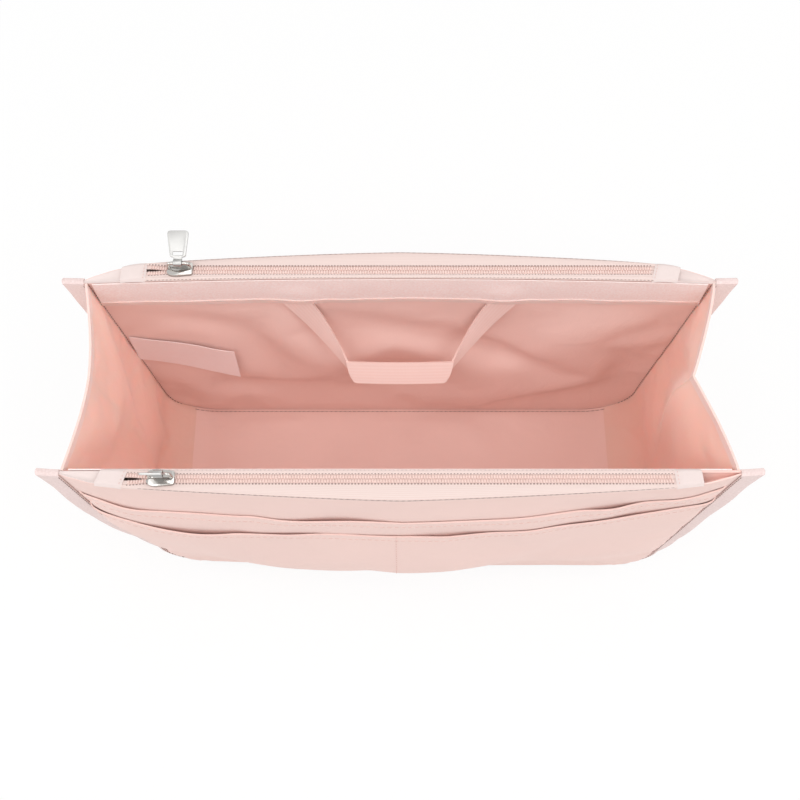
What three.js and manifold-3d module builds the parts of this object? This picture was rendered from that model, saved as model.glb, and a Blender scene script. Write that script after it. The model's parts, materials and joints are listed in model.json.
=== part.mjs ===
// A soft zipped pouch organiser: two flat zipped pouches joined by a floor and two side gussets.
// Millimetres. X runs along the bag, -Y is its front, Z is up from the surface it stands on.
import * as THREE from "three";
import Module from "manifold-3d";
import { mergeVertices } from "three/addons/utils/BufferGeometryUtils.js";

const wasm = await Module();
wasm.setup();

// Driving dimensions of the bag
const WIDTH = 280;          // between the side seams at the mouth
const MOUTH_DEPTH = 88;     // between the two inner walls
const WALL_TOP = 147.7;     // top edge of the wall cloth
const CLOTH = 0.8;          // one ply of lined cloth
const GAP = 0.3;            // air left between pieces that lie on each other
const PLY = CLOTH + GAP;
const SLIP_EASE = 0.35;     // further ease between a slip pocket and the cloth behind it

// Outline of the walls
const SIDE_TAPER = 10;      // the seam leans in this far between the mouth and the corner
const CORNER_R = 14;        // round bottom corner of the seam line
const MARGIN = 9.5;         // flat margin outside the seam, at the mouth
const MARGIN_LOW = 9;       // the same where the corner begins
const MARGIN_R = 40;        // round bottom corner of the margin's edge
const MARGIN_FOOT = 1.5;    // least margin, at the foot
const PANEL_LOW = 1.0;      // lowest edge of the wall cloth
const WALL_ROWS = 6;        // grid rows above the corner
const FILL_COLUMNS = 18;    // grid columns across a filled-out wall

// How a pouch thins out from its fullest height and its middle
const FILL_AT = 60;         // height where it is fullest
const FOOT_POWER = 1.3;     // how straight its outer wall runs down to the foot
const ACROSS_DROP = 0.63;   // share that it loses evenly from its middle to a seam
const ACROSS_POWER = 1.25;
const SEAM_POWER = 12;      // how sharply the rest closes at the seam

// Floor and gussets
const FLOOR_EDGE_GAP = 0.5; // between a floor or gusset edge and the wall beside it
const LINING = 0.6;
const GUSSET_LIFT = 0.1;    // the gusset's foot stays this far off the ground
const CREASE = 11;          // how far the middle fold of a gusset leans in at the mouth
const CREASE_FROM = 18;     // height where that fold begins
const CREASE_DIP = 3;       // the hem sinks this much at the fold
const DIP_FROM = 60;        // height where that sinking begins

// Facing band inside the mouth
const BAND_HEIGHT = 18.7;
const BAND = 0.6;
const BAND_END = 4;         // kept clear of the gusset at each end

// Zip: two rows of moulded coil between two tapes
const ZIP_SHORT = 27;       // from the side seam to the end of the zip
const ZIP_HALF = WIDTH / 2 - ZIP_SHORT;
const TAPE = 0.7;
const COIL_HIGH = 1.8;
const COIL_WIDE = 1.25;
const COIL_ROOT = 0.55;     // part of that width which is solid cord
const COIL_PITCH = 3.2;
const COIL_SPLIT = 1.4;     // open line between the two rows, where the slider's neck runs
const COIL_SUNK = 0.8;      // the coil's underside below the tape's
const TAB_LONG = 11;
const TAB_HIGH = 1.2;

// Zip slider
const SLIDER_START = 15;    // from the zip's end to the slider's middle, when the zip is shut
const SLIDER_REST = -(ZIP_HALF - SLIDER_START);
const SLIDER_LONG = 11.5;
const SLIDER_PLATE = 1.0;
const SLIDER_WIDE = 7.4;
const SLIDER_TAIL = 6.0;
const SLIDER_FOOT = 5.2;    // width of the lower plate
const SLIDER_LIP = 0.8;
const SLIDER_NECK = 0.8;
const NECK_LONG = 3.8;
const SHOULDER = 4;         // rounded part of the slider's outline at its broad end
const RUN_CLEAR = 0.4;      // running clearance above and below the coil
const CROWN_RISE = 4.4;     // bar's middle above the slider's top plate
const CROWN_HALF = 4.6;
const CROWN_BAR = 2.7;      // half of the straight bar that the pull turns on
const CROWN_R = 0.75;

// Pull tab
const EYE_CLEAR = 0.25;     // between the bar and the pull's rolled eye
const EYE_WALL = 0.65;
const EYE_WIDE = 3.8;
const PULL_LONG = 14.5;     // from the bar to the tip
const PULL_BASE = 7.2;
const PULL_TIP = 9.4;
const PULL_THICK = 1.0;
const SLOT = [4.4, 1.6];    // pierced slot next to the eye
const SLOT_FROM = 3.5;

// Webbing handles
const WEB = 12.5;
const WEB_THICK = 1.2;
const LEG_HALF = 47;        // half of the distance between the legs, at the wall
const BAR_HALF = 26;        // half of the cross bar's upper edge, from fold to fold
const LOOP_DROP = 48.9;     // from the wall to the middle of the cross bar, along the webbing
const BAR_ROUND = 3;        // rounding of the cross bar's lower corners
const LEG_TWIST = 12;       // the twisted leg's outer edge swings in from here beyond the bar
const SAG_END = 35;         // degrees that the webbing leans off the wall at the cross bar
const HANDLE_DROP = 1.4;    // below the band
const HANDLE_OFF = 1.0;     // webbing's middle from the wall

// Label
const LABEL = [50, 25, 0.5];
const LABEL_FROM = -132.8;
const LABEL_HIGH = 82;
const LABEL_DROOP = 15;
const LABEL_LIFT = 3;

// The two pouches differ in how far they fill out and where their zip lies
const FRONT = {
  name: "front", side: -1, bow: 0, fillTop: 12.6, fillMid: 15.5, zip: 3.8, pullAngle: 109,
};
const BACK = {
  name: "back", side: 1, bow: 2.6, fillTop: 16.0, fillMid: 16.5, zip: 6.2, pullAngle: 20,
};

// Slip pockets: how far their edges lie below the mouth, and how they rise towards the two seams
const SLIP_LOW = 5;
const SLIPS = [
  { name: "front_slip_upper", drop: 24, rise: [4, 12], wave: 1.4, cycles: 3.5, gape: 0.5 },
  { name: "front_slip_lower", drop: 43.5, rise: [10, 20], wave: 1.8, cycles: 2.5, gape: 0.8 },
];

// Colours
const OUTER_PINK = 0xf4d9d1;
const INNER_PINK = 0xe6b2a5;
const TAPE_PINK = 0xf3d6cf;
const TAB_PINK = 0xf8e8e5;
const BAND_PINK = 0xebcbc5;
const LABEL_PINK = 0xecc5c2;
const STEEL = 0xc9c8c6;
const PULL_GREY = 0xdededd;

const HALF_DEPTH = MOUTH_DEPTH / 2;
const TAPE_LOW = WALL_TOP + GAP;
const TAPE_TOP = TAPE_LOW + TAPE;
const COIL_LOW = TAPE_LOW - COIL_SUNK;
const COIL_TOP = COIL_LOW + COIL_HIGH;
const COIL_EDGE = COIL_SPLIT / 2 + COIL_WIDE;
const PLATE_LOW = COIL_TOP + RUN_CLEAR;
const PLATE_TOP = PLATE_LOW + SLIDER_PLATE;
const BAR_HIGH = PLATE_TOP + CROWN_RISE;

const smooth = (t) => { const c = Math.min(1, Math.max(0, t)); return c * c * (3 - 2 * c); };
const rad = (degrees) => degrees * Math.PI / 180;

// A grid of vertices turned into a closed skin: two faces and the rim between them
function closeGrid(front, back, rows, cols) {
  const vertices = [...front, ...back];
  const index = [];
  const half = rows * cols;
  const quad = (a, b, c, d) => index.push(a, b, c, a, c, d);
  for (let i = 0; i < rows - 1; i++) {
    for (let j = 0; j < cols - 1; j++) {
      const a = i * cols + j;
      quad(a, a + 1, a + cols + 1, a + cols);
      quad(half + a, half + a + cols, half + a + cols + 1, half + a + 1);
    }
  }
  const rim = [];
  for (let j = 0; j < cols - 1; j++) rim.push(j);
  for (let i = 0; i < rows - 1; i++) rim.push(i * cols + cols - 1);
  for (let j = cols - 1; j > 0; j--) rim.push((rows - 1) * cols + j);
  for (let i = rows - 1; i > 0; i--) rim.push(i * cols);
  rim.forEach((a, k) => {
    const b = rim[(k + 1) % rim.length];
    quad(b, a, half + a, half + b);
  });
  return fromTriangles(vertices, index);
}

// A geometry from points and triangles, turned so that its faces look outwards
function fromTriangles(points, index) {
  let volume = 0;
  const cross = new THREE.Vector3();
  for (let k = 0; k < index.length; k += 3) {
    cross.crossVectors(points[index[k + 1]], points[index[k + 2]]);
    volume += points[index[k]].dot(cross);
  }
  if (volume < 0) {
    for (let k = 0; k < index.length; k += 3) [index[k], index[k + 1]] = [index[k + 1], index[k]];
  }
  const geometry = new THREE.BufferGeometry();
  geometry.setAttribute("position",
    new THREE.Float32BufferAttribute(points.flatMap((p) => [p.x, p.y, p.z]), 3));
  geometry.setIndex(index);
  geometry.computeVertexNormals();
  return geometry;
}

// Cloth: a grid of middle points thickened to both sides along its normals
function sheet(rows, cols, thickness, at) {
  const middle = [];
  for (let i = 0; i < rows; i++) {
    for (let j = 0; j < cols; j++) middle.push(at(i / (rows - 1), j / (cols - 1), i, j));
  }
  const point = (i, j) => middle[i * cols + j];
  const normals = middle.map((_, k) => {
    const i = Math.floor(k / cols);
    const j = k % cols;
    const along = point(Math.min(i + 1, rows - 1), j).clone().sub(point(Math.max(i - 1, 0), j));
    const across = point(i, Math.min(j + 1, cols - 1)).clone().sub(point(i, Math.max(j - 1, 0)));
    return along.cross(across).normalize();
  });
  const shifted = (sign) => middle.map((p, k) => p.clone().addScaledVector(normals[k], sign * thickness / 2));
  return closeGrid(shifted(1), shifted(-1), rows, cols);
}

const toSolid = (geometry) => {
  const bare = geometry.clone();
  bare.deleteAttribute("normal");
  bare.deleteAttribute("uv");
  const merged = mergeVertices(bare, 1e-4);
  return new wasm.Manifold(new wasm.Mesh({
    numProp: 3,
    vertProperties: new Float32Array(merged.attributes.position.array),
    triVerts: new Uint32Array(merged.index.array),
  }));
};

const toGeometry = (solid) => {
  const mesh = solid.getMesh();
  const geometry = new THREE.BufferGeometry();
  geometry.setAttribute("position", new THREE.Float32BufferAttribute(mesh.vertProperties, 3));
  geometry.setIndex(Array.from(mesh.triVerts));
  geometry.computeVertexNormals();
  return geometry;
};

const extrude = (shape, depth, curveSegments = 6) =>
  new THREE.ExtrudeGeometry(shape, { depth, bevelEnabled: false, curveSegments });

function block(x, y, z) {
  const geometry = new THREE.BoxGeometry(x[1] - x[0], y[1] - y[0], z[1] - z[0]);
  return geometry.translate((x[0] + x[1]) / 2, (y[0] + y[1]) / 2, (z[0] + z[1]) / 2);
}

// A round-edged rod along a flat path in the XZ plane
function rodAlong(path, radius, sides = 10) {
  const points = [];
  const index = [];
  path.forEach((p, k) => {
    const before = path[Math.max(k - 1, 0)];
    const after = path[Math.min(k + 1, path.length - 1)];
    const tangent = after.clone().sub(before).normalize();
    for (let s = 0; s < sides; s++) {
      const a = 2 * Math.PI * s / sides;
      const out = Math.cos(a) * radius;
      points.push(new THREE.Vector3(p.x - tangent.y * out, Math.sin(a) * radius, p.y + tangent.x * out));
    }
  });
  for (let k = 0; k < path.length - 1; k++) {
    for (let s = 0; s < sides; s++) {
      const a = k * sides + s;
      const b = k * sides + (s + 1) % sides;
      index.push(a, b, b + sides, a, b + sides, a + sides);
    }
  }
  const last = (path.length - 1) * sides;
  for (let s = 1; s < sides - 1; s++) {
    index.push(0, s + 1, s);
    index.push(last, last + s, last + s + 1);
  }
  return fromTriangles(points, index);
}

// Outline of the walls: half width of the seam line and of the margin's edge at a height
function roundedHalf(z, low, radius, corner, top) {
  const up = z - low;
  if (up < radius) return corner - radius + Math.sqrt(Math.max(0, radius ** 2 - (radius - up) ** 2));
  return corner + (top - corner) * (up - radius) / (WALL_TOP - low - radius);
}
const seamHalf = (z) =>
  roundedHalf(z, CLOTH / 2, CORNER_R, WIDTH / 2 - SIDE_TAPER, WIDTH / 2);
const marginHalf = (z) => Math.max(seamHalf(z) + MARGIN_FOOT,
  roundedHalf(z, PANEL_LOW, MARGIN_R, WIDTH / 2 - SIDE_TAPER + MARGIN_LOW, WIDTH / 2 + MARGIN));

// Heights of the grid rows of a wall: close together round the corner, even above it
function wallRows(top, arcRows = 6, straightRows = WALL_ROWS) {
  const rows = [];
  for (let k = 0; k < arcRows; k++) rows.push(PANEL_LOW + MARGIN_R * (1 - Math.cos(k / arcRows * Math.PI / 2)));
  const from = PANEL_LOW + MARGIN_R;
  for (let k = 0; k <= straightRows; k++) rows.push(from + (top - from) * k / straightRows);
  return rows;
}

// How far the inner wall bows away from the mouth's middle
const innerBow = (pouch, x, z) => {
  const t = Math.min(1, Math.abs(x) / seamHalf(z));
  return pouch.bow * (1 - t * t) * Math.pow(Math.max(0, z) / WALL_TOP, 1.5);
};
const innerFace = (pouch, x, z) => HALF_DEPTH + innerBow(pouch, x, z);

// How far the outer wall stands off the inner one: flat on the margin, filled out inside the seam
function fill(pouch, z) {
  if (z > FILL_AT) {
    const t = (z - FILL_AT) / (WALL_TOP - FILL_AT);
    return pouch.fillMid - (pouch.fillMid - pouch.fillTop) * t * t;
  }
  return pouch.fillMid * (1 - ((FILL_AT - z) / FILL_AT) ** FOOT_POWER);
}
const fillAcross = (t) => 1 - ACROSS_DROP * t ** ACROSS_POWER - (1 - ACROSS_DROP) * t ** SEAM_POWER;
function outerMiddle(pouch, x, z) {
  const t = Math.min(1, Math.abs(x) / seamHalf(z));
  const off = PLY + Math.max(0, fill(pouch, z) - PLY) * fillAcross(t);
  return new THREE.Vector3(x, pouch.side * (HALF_DEPTH + CLOTH / 2 + off), z);
}
const outerEdge = (pouch, x) =>
  Math.abs(outerMiddle(pouch, x, WALL_TOP).y) + CLOTH / 2;

// The columns of a wall: some inside the seam, then the seam itself and the margin's edge
function wallX(z, j, inside) {
  const t = (j - 2) / inside * 2 - 1;
  const seam = seamHalf(z);
  const edge = marginHalf(z);
  if (j === 0) return -edge;
  if (j === 1) return -(seam + (edge - seam) * 0.15);
  if (j === inside + 4) return edge;
  if (j === inside + 3) return seam + (edge - seam) * 0.15;
  return t * seam;
}

function innerPanel(pouch, inside = 8) {
  const heights = wallRows(WALL_TOP);
  return sheet(heights.length, inside + 5, CLOTH, (u, v, i, j) => {
    const z = heights[i];
    const x = wallX(z, j, inside);
    return new THREE.Vector3(x, pouch.side * (innerFace(pouch, x, z) + CLOTH / 2), z);
  });
}

function outerPanel(pouch, inside = FILL_COLUMNS) {
  const heights = wallRows(WALL_TOP);
  return sheet(heights.length, inside + 5, CLOTH, (u, v, i, j) => {
    const z = heights[i];
    return outerMiddle(pouch, wallX(z, j, inside), z);
  });
}

// A slip pocket lies on the outer wall, its loose top edge gaping a little in waves
function slipPocket(pouch, slip, ply) {
  const inside = FILL_COLUMNS;
  const normalAt = (x, z) => {
    const a = outerMiddle(pouch, x + 0.5, z).sub(outerMiddle(pouch, x - 0.5, z));
    const b = outerMiddle(pouch, x, z + 0.5).sub(outerMiddle(pouch, x, z - 0.5));
    const n = a.cross(b).normalize();
    return n.y * pouch.side < 0 ? n.negate() : n;
  };
  const rows = 10;
  return sheet(rows, inside + 1, CLOTH, (u, v) => {
    const across = v * 2 - 1;
    const wave = slip.wave * Math.sin(across * slip.cycles * Math.PI / 2 + 0.6);
    const up = Math.pow(u, 1.3);
    const rise = slip.rise[across < 0 ? 0 : 1] * across ** 2;
    const top = WALL_TOP - slip.drop + rise;
    const z = SLIP_LOW + (top - SLIP_LOW) * up + wave * up ** 4;
    const x = across * seamHalf(z) * 0.992;
    const open = slip.gape * up ** 8 * (1 - across ** 4) * (1 + Math.sin(across * slip.cycles * 4));
    return outerMiddle(pouch, x, z).addScaledVector(normalAt(x, z), (PLY + SLIP_EASE) * ply + open);
  });
}

// Facing band along the mouth, on the compartment's side of the inner wall
function facingBand(pouch) {
  const half = WIDTH / 2 - BAND_END;
  return sheet(3, 15, BAND, (u, v) => {
    const z = WALL_TOP - BAND_HEIGHT * (1 - u);
    const x = (v * 2 - 1) * half;
    return new THREE.Vector3(x, pouch.side * (innerFace(pouch, x, z) - GAP - BAND / 2), z);
  });
}

// A strip lying flat on the mouth's edge, between two edge lines
function flatStrip(from, to, edgeA, edgeB, low, high, cols) {
  return sheet(2, cols, high - low, (u, v) => {
    const x = from + (to - from) * v;
    return new THREE.Vector3(x, edgeA(x) + (edgeB(x) - edgeA(x)) * u, (low + high) / 2);
  });
}
const zipLine = (pouch) => HALF_DEPTH + pouch.zip;

function zipTape(pouch, outward) {
  const beside = zipLine(pouch) + outward * (COIL_EDGE + GAP);
  const rim = (x) => (outward > 0 ? outerEdge(pouch, x) : innerFace(pouch, x, WALL_TOP));
  return flatStrip(-ZIP_HALF, ZIP_HALF, () => pouch.side * beside, (x) => pouch.side * rim(x),
    TAPE_LOW, TAPE_TOP, 17);
}

function endTab(pouch, sign) {
  const from = sign * (ZIP_HALF + GAP);
  const to = sign * (ZIP_HALF + GAP + TAB_LONG);
  const inner = (x) => pouch.side * innerFace(pouch, x, WALL_TOP);
  const outer = (x) => pouch.side * outerEdge(pouch, x);
  return flatStrip(from, to, inner, outer, TAPE_LOW, TAPE_LOW + TAB_HIGH, 4);
}

// One row of coil: a solid cord with leaning teeth towards the other row
function coilRow(pouch, outward) {
  const outer = COIL_SPLIT / 2 + COIL_WIDE;
  const root = outer - COIL_ROOT;
  const tip = COIL_SPLIT / 2;
  const count = Math.floor(2 * ZIP_HALF / COIL_PITCH);
  const shape = new THREE.Shape();
  shape.moveTo(-ZIP_HALF, outer);
  shape.lineTo(-ZIP_HALF, root);
  const start = -count * COIL_PITCH / 2;
  for (let k = 0; k < count; k++) {
    const x = start + k * COIL_PITCH;
    shape.lineTo(x + COIL_PITCH * 0.2, root);
    shape.lineTo(x + COIL_PITCH * 0.35, tip);
    shape.lineTo(x + COIL_PITCH * 0.75, tip);
    shape.lineTo(x + COIL_PITCH * 0.8, root);
  }
  shape.lineTo(ZIP_HALF, root);
  shape.lineTo(ZIP_HALF, outer);
  const geometry = extrude(shape, COIL_HIGH).translate(0, 0, COIL_LOW);
  if (outward * pouch.side < 0) geometry.rotateZ(Math.PI);
  return geometry.translate(0, pouch.side * zipLine(pouch), 0);
}

// Slider outline seen from above: broad shoulders at the open end, narrow tail at the shut end
function sliderShape(wide, tail) {
  const half = SLIDER_LONG / 2;
  const shape = new THREE.Shape();
  shape.moveTo(half - 1.2, -tail / 2);
  shape.quadraticCurveTo(half, -tail / 2, half, -tail / 2 + 1.4);
  shape.lineTo(half, tail / 2 - 1.4);
  shape.quadraticCurveTo(half, tail / 2, half - 1.2, tail / 2);
  shape.lineTo(-half + SHOULDER, wide / 2);
  shape.quadraticCurveTo(-half + 0.4, wide / 2, -half, wide / 2 - 2.4);
  shape.quadraticCurveTo(-half + 1.6, 0, -half, -wide / 2 + 2.4);
  shape.quadraticCurveTo(-half + 0.4, -wide / 2, -half + SHOULDER, -wide / 2);
  return shape;
}

// The crown: a bail with a straight bar in the middle for the pull's eye
function crown() {
  const base = PLATE_TOP - SLIDER_PLATE / 2;
  const path = new THREE.Path();
  path.moveTo(-CROWN_HALF, base);
  path.lineTo(-CROWN_HALF, PLATE_TOP + CROWN_RISE * 0.35);
  path.quadraticCurveTo(-CROWN_HALF, BAR_HIGH, -CROWN_BAR, BAR_HIGH);
  path.lineTo(CROWN_BAR, BAR_HIGH);
  path.quadraticCurveTo(CROWN_HALF, BAR_HIGH, CROWN_HALF, PLATE_TOP + CROWN_RISE * 0.35);
  path.lineTo(CROWN_HALF, base);
  return rodAlong(path.getPoints(6), CROWN_R, 12);
}

function zipSlider(pouch) {
  const topOutline = sliderShape(SLIDER_WIDE, SLIDER_TAIL);
  const plate = toSolid(extrude(topOutline, SLIDER_PLATE).translate(0, 0, PLATE_LOW));
  const lipLow = TAPE_TOP + GAP;
  const skirt = toSolid(extrude(topOutline, PLATE_LOW + 0.1 - lipLow).translate(0, 0, lipLow));
  const hollow = toSolid(extrude(sliderShape(SLIDER_WIDE - 2 * SLIDER_LIP, SLIDER_TAIL - 2 * SLIDER_LIP), 4)
    .scale(1.2, 1, 1).translate(0, 0, lipLow - 1));
  const footHigh = COIL_LOW - RUN_CLEAR;
  const foot = toSolid(extrude(sliderShape(SLIDER_FOOT, SLIDER_FOOT - 0.6), SLIDER_PLATE)
    .translate(0, 0, footHigh - SLIDER_PLATE));
  const neck = toSolid(block([-NECK_LONG - CROWN_R, -CROWN_R], [-SLIDER_NECK / 2, SLIDER_NECK / 2],
    [footHigh - SLIDER_PLATE / 2, PLATE_LOW + SLIDER_PLATE / 2]));
  const body = plate.add(skirt.subtract(hollow)).add(foot).add(neck).add(toSolid(crown()));
  return toGeometry(body).translate(SLIDER_REST, pouch.side * zipLine(pouch), 0);
}

// The pull: a tab that widens to its tip, with a rolled eye round the crown's bar
function pullOutline() {
  const from = 2.6;
  const a = PULL_BASE / 2;
  const b = PULL_TIP / 2;
  const corner = 1.6;
  const shape = new THREE.Shape();
  shape.moveTo(-EYE_WIDE / 2, 0);
  shape.lineTo(EYE_WIDE / 2, 0);
  shape.lineTo(EYE_WIDE / 2, from);
  shape.quadraticCurveTo(a, from, a, from + 1.2);
  shape.lineTo(b, PULL_LONG - corner);
  shape.quadraticCurveTo(b, PULL_LONG, b - corner, PULL_LONG);
  shape.lineTo(-b + corner, PULL_LONG);
  shape.quadraticCurveTo(-b, PULL_LONG, -b, PULL_LONG - corner);
  shape.lineTo(-a, from + 1.2);
  shape.quadraticCurveTo(-a, from, -EYE_WIDE / 2, from);
  return shape;
}

function pullTab(pouch) {
  const bore = CROWN_R + EYE_CLEAR;
  const along = (radius, length) =>
    toSolid(new THREE.CylinderGeometry(radius, radius, length, 20).rotateZ(Math.PI / 2));
  const tab = toSolid(extrude(pullOutline(), PULL_THICK).translate(0, 0, -PULL_THICK / 2));
  const slot = toSolid(block([-SLOT[0] / 2, SLOT[0] / 2], [SLOT_FROM, SLOT_FROM + SLOT[1]], [-2, 2]));
  const pull = tab.add(along(bore + EYE_WALL, EYE_WIDE)).subtract(along(bore, EYE_WIDE + 4)).subtract(slot);
  return toGeometry(pull).rotateX(rad(pouch.pullAngle))
    .translate(SLIDER_REST, pouch.side * zipLine(pouch), BAR_HIGH);
}

// Webbing loop on its own flat: pairs of points on its inner and outer edge, from a leg to the bar's middle.
// The legs are twisted, so they narrow towards the folds at the cross bar's ends.
function loopEdges() {
  const top = LOOP_DROP - WEB / 2;
  const low = LOOP_DROP + WEB / 2;
  const level = WEB / 2 * Math.hypot(LEG_HALF - WEB / 2 - BAR_HALF, top) / top;
  const outer = new THREE.QuadraticBezierCurve(
    new THREE.Vector2(-LEG_HALF - level, 0),
    new THREE.Vector2(-BAR_HALF - LEG_TWIST, top * 0.78),
    new THREE.Vector2(-BAR_HALF + BAR_ROUND / 2, low - BAR_ROUND));
  const inner = new THREE.LineCurve(new THREE.Vector2(-LEG_HALF + level, 0), new THREE.Vector2(-BAR_HALF, top));
  const pairs = [];
  for (let k = 0; k <= 10; k++) pairs.push([inner.getPoint(k / 10), outer.getPoint(k / 10)]);
  const corner = new THREE.QuadraticBezierCurve(outer.v2,
    new THREE.Vector2(outer.v2.x + 0.2, low), new THREE.Vector2(outer.v2.x + BAR_ROUND, low));
  for (let k = 1; k <= 3; k++) {
    pairs.push([new THREE.Vector2(-BAR_HALF + BAR_ROUND * k / 2, top), corner.getPoint(k / 3)]);
  }
  for (let k = 1; k <= 4; k++) {
    const x = corner.v2.x * (1 - k / 4);
    pairs.push([new THREE.Vector2(x, top), new THREE.Vector2(x, low)]);
  }
  return pairs;
}
const handleHigh = WALL_TOP - BAND_HEIGHT - HANDLE_DROP;
const handleWall = (pouch) => innerFace(pouch, LEG_HALF, handleHigh) - HANDLE_OFF;

// The loop is hung off the wall in a soft curve
function handle(pouch) {
  const half = loopEdges();
  const mirrored = half.slice(0, -1).reverse().map((pair) => pair.map((p) => new THREE.Vector2(-p.x, p.y)));
  const pairs = [...half, ...mirrored];
  const bend = rad(SAG_END) / (LOOP_DROP + WEB / 2);
  const hung = (p) => new THREE.Vector3(p.x,
    pouch.side * (handleWall(pouch) - (1 - Math.cos(bend * p.y)) / bend),
    handleHigh - Math.sin(bend * p.y) / bend);
  return sheet(pairs.length, 3, WEB_THICK, (u, v, i) => hung(pairs[i][0].clone().lerp(pairs[i][1], v)));
}

// Gusset half: from a wall's seam to the middle fold, up from the floor's end round the corner
function gussetHalf(sign, pouch) {
  const cols = 5;
  const arc = 6;
  const line = [];
  const centre = WIDTH / 2 - SIDE_TAPER - CORNER_R;
  const low = CLOTH / 2 + GUSSET_LIFT;
  for (let k = 0; k <= arc; k++) {
    const a = k / arc * Math.PI / 2;
    const x = centre + Math.sin(a) * (CORNER_R - CLOTH / 2) + GAP * Math.cos(a);
    line.push([x, low + (1 - Math.cos(a)) * CORNER_R]);
  }
  for (let k = 1; k <= 6; k++) {
    const z = low + CORNER_R + (WALL_TOP - low - CORNER_R) * k / 6;
    line.push([seamHalf(z) - CLOTH / 2, z]);
  }
  return sheet(line.length, cols, CLOTH, (u, v, i) => {
    const [x, z] = line[i];
    const fold = CREASE * smooth((z - CREASE_FROM) / (WALL_TOP - CREASE_FROM));
    const in_ = Math.pow(v, 1.15);
    const y = pouch.side * ((HALF_DEPTH - FLOOR_EDGE_GAP) * (1 - v) + GAP / 2 * v);
    const dip = CREASE_DIP * in_ * smooth((z - DIP_FROM) / (WALL_TOP - DIP_FROM));
    return new THREE.Vector3(sign * (x - fold * in_), y, z - dip);
  });
}

function floorCloth() {
  const x = WIDTH / 2 - SIDE_TAPER - CORNER_R;
  const y = HALF_DEPTH - FLOOR_EDGE_GAP;
  return block([-x, x], [-y, y], [0, CLOTH]);
}

function floorLining() {
  const x = WIDTH / 2 - SIDE_TAPER - CORNER_R - 1;
  const y = HALF_DEPTH - FLOOR_EDGE_GAP - GAP;
  return block([-x, x], [-y, y], [PLY, PLY + LINING]);
}

function label(pouch) {
  return sheet(3, 9, LABEL[2], (u, v) => {
    const x = LABEL_FROM + LABEL[0] * v;
    const z = LABEL_HIGH - LABEL_DROOP * v + (u - 0.5) * LABEL[1];
    return new THREE.Vector3(x, pouch.side * (innerFace(pouch, x, z) - GAP - LABEL[2] - LABEL_LIFT * v * v), z);
  });
}

const group = new THREE.Group();
function add(name, geometry, color, roughness, metalness = 0) {
  const material = new THREE.MeshStandardMaterial({ color, roughness, metalness });
  const mesh = new THREE.Mesh(geometry, material);
  mesh.name = name;
  group.add(mesh);
}

add("floor_cloth", floorCloth(), OUTER_PINK, 0.85);
add("floor_lining", floorLining(), INNER_PINK, 0.85);
for (const [word, sign] of [["left", -1], ["right", 1]]) {
  for (const pouch of [FRONT, BACK]) {
    add(`gusset_${word}_${pouch.name}`, gussetHalf(sign, pouch), INNER_PINK, 0.8);
  }
}
for (const pouch of [FRONT, BACK]) {
  const named = (piece) => `${pouch.name}_${piece}`;
  add(named("inner_panel"), innerPanel(pouch), INNER_PINK, 0.8);
  add(named("outer_panel"), outerPanel(pouch), OUTER_PINK, 0.8);
  add(named("facing_band"), facingBand(pouch), BAND_PINK, 0.75);
  add(named("tape_inner"), zipTape(pouch, -1), TAPE_PINK, 0.85);
  add(named("tape_outer"), zipTape(pouch, 1), TAPE_PINK, 0.85);
  add(named("coil_inner"), coilRow(pouch, -1), TAPE_PINK, 0.5);
  add(named("coil_outer"), coilRow(pouch, 1), TAPE_PINK, 0.5);
  add(named("end_tab_left"), endTab(pouch, -1), TAB_PINK, 0.8);
  add(named("end_tab_right"), endTab(pouch, 1), TAB_PINK, 0.8);
  add(named("slider"), zipSlider(pouch), STEEL, 0.25, 1);
  add(named("pull"), pullTab(pouch), PULL_GREY, 0.3, 1);
  add(named("handle"), handle(pouch), OUTER_PINK, 0.85);
}
SLIPS.forEach((slip, k) => add(slip.name, slipPocket(FRONT, slip, k + 1), OUTER_PINK, 0.8));
add("label", label(BACK), LABEL_PINK, 0.45);

export default group;
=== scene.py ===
"""A soft zipped pouch organiser, dressed around its CAD frame. Lengths in this file are millimetres
unless a name says otherwise; meshes are written in metres."""

import json
import math

import bpy
from bpy.props import FloatProperty, FloatVectorProperty, PointerProperty
from mathutils import Matrix, Vector, noise


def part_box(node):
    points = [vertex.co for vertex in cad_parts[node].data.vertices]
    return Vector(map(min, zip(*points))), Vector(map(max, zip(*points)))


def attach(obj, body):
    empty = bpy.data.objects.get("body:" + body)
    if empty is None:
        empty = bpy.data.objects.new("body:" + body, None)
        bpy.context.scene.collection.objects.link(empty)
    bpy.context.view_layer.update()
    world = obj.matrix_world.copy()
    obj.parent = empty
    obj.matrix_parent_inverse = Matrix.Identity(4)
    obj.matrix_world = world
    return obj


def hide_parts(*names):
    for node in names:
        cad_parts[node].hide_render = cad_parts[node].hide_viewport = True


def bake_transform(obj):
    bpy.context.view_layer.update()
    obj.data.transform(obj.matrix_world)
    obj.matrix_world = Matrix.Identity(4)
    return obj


bl_info = {
    "name": "Pouch organiser",
    "version": (1, 0, 0),
    "blender": (4, 5, 0),
    "location": "3D View > Sidebar > Pouch",
    "description": "Dresses the pouch organiser's frame in cloth, zips, webbing and stitching",
    "category": "Object",
}

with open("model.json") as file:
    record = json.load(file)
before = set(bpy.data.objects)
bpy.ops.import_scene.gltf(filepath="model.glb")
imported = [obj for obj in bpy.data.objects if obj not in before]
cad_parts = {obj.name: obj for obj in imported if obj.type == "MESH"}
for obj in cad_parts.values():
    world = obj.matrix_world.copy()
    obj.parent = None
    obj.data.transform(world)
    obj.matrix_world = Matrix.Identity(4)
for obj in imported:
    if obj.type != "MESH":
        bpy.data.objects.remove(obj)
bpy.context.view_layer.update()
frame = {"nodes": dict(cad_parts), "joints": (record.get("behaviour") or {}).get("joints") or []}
MM = 0.001


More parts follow.
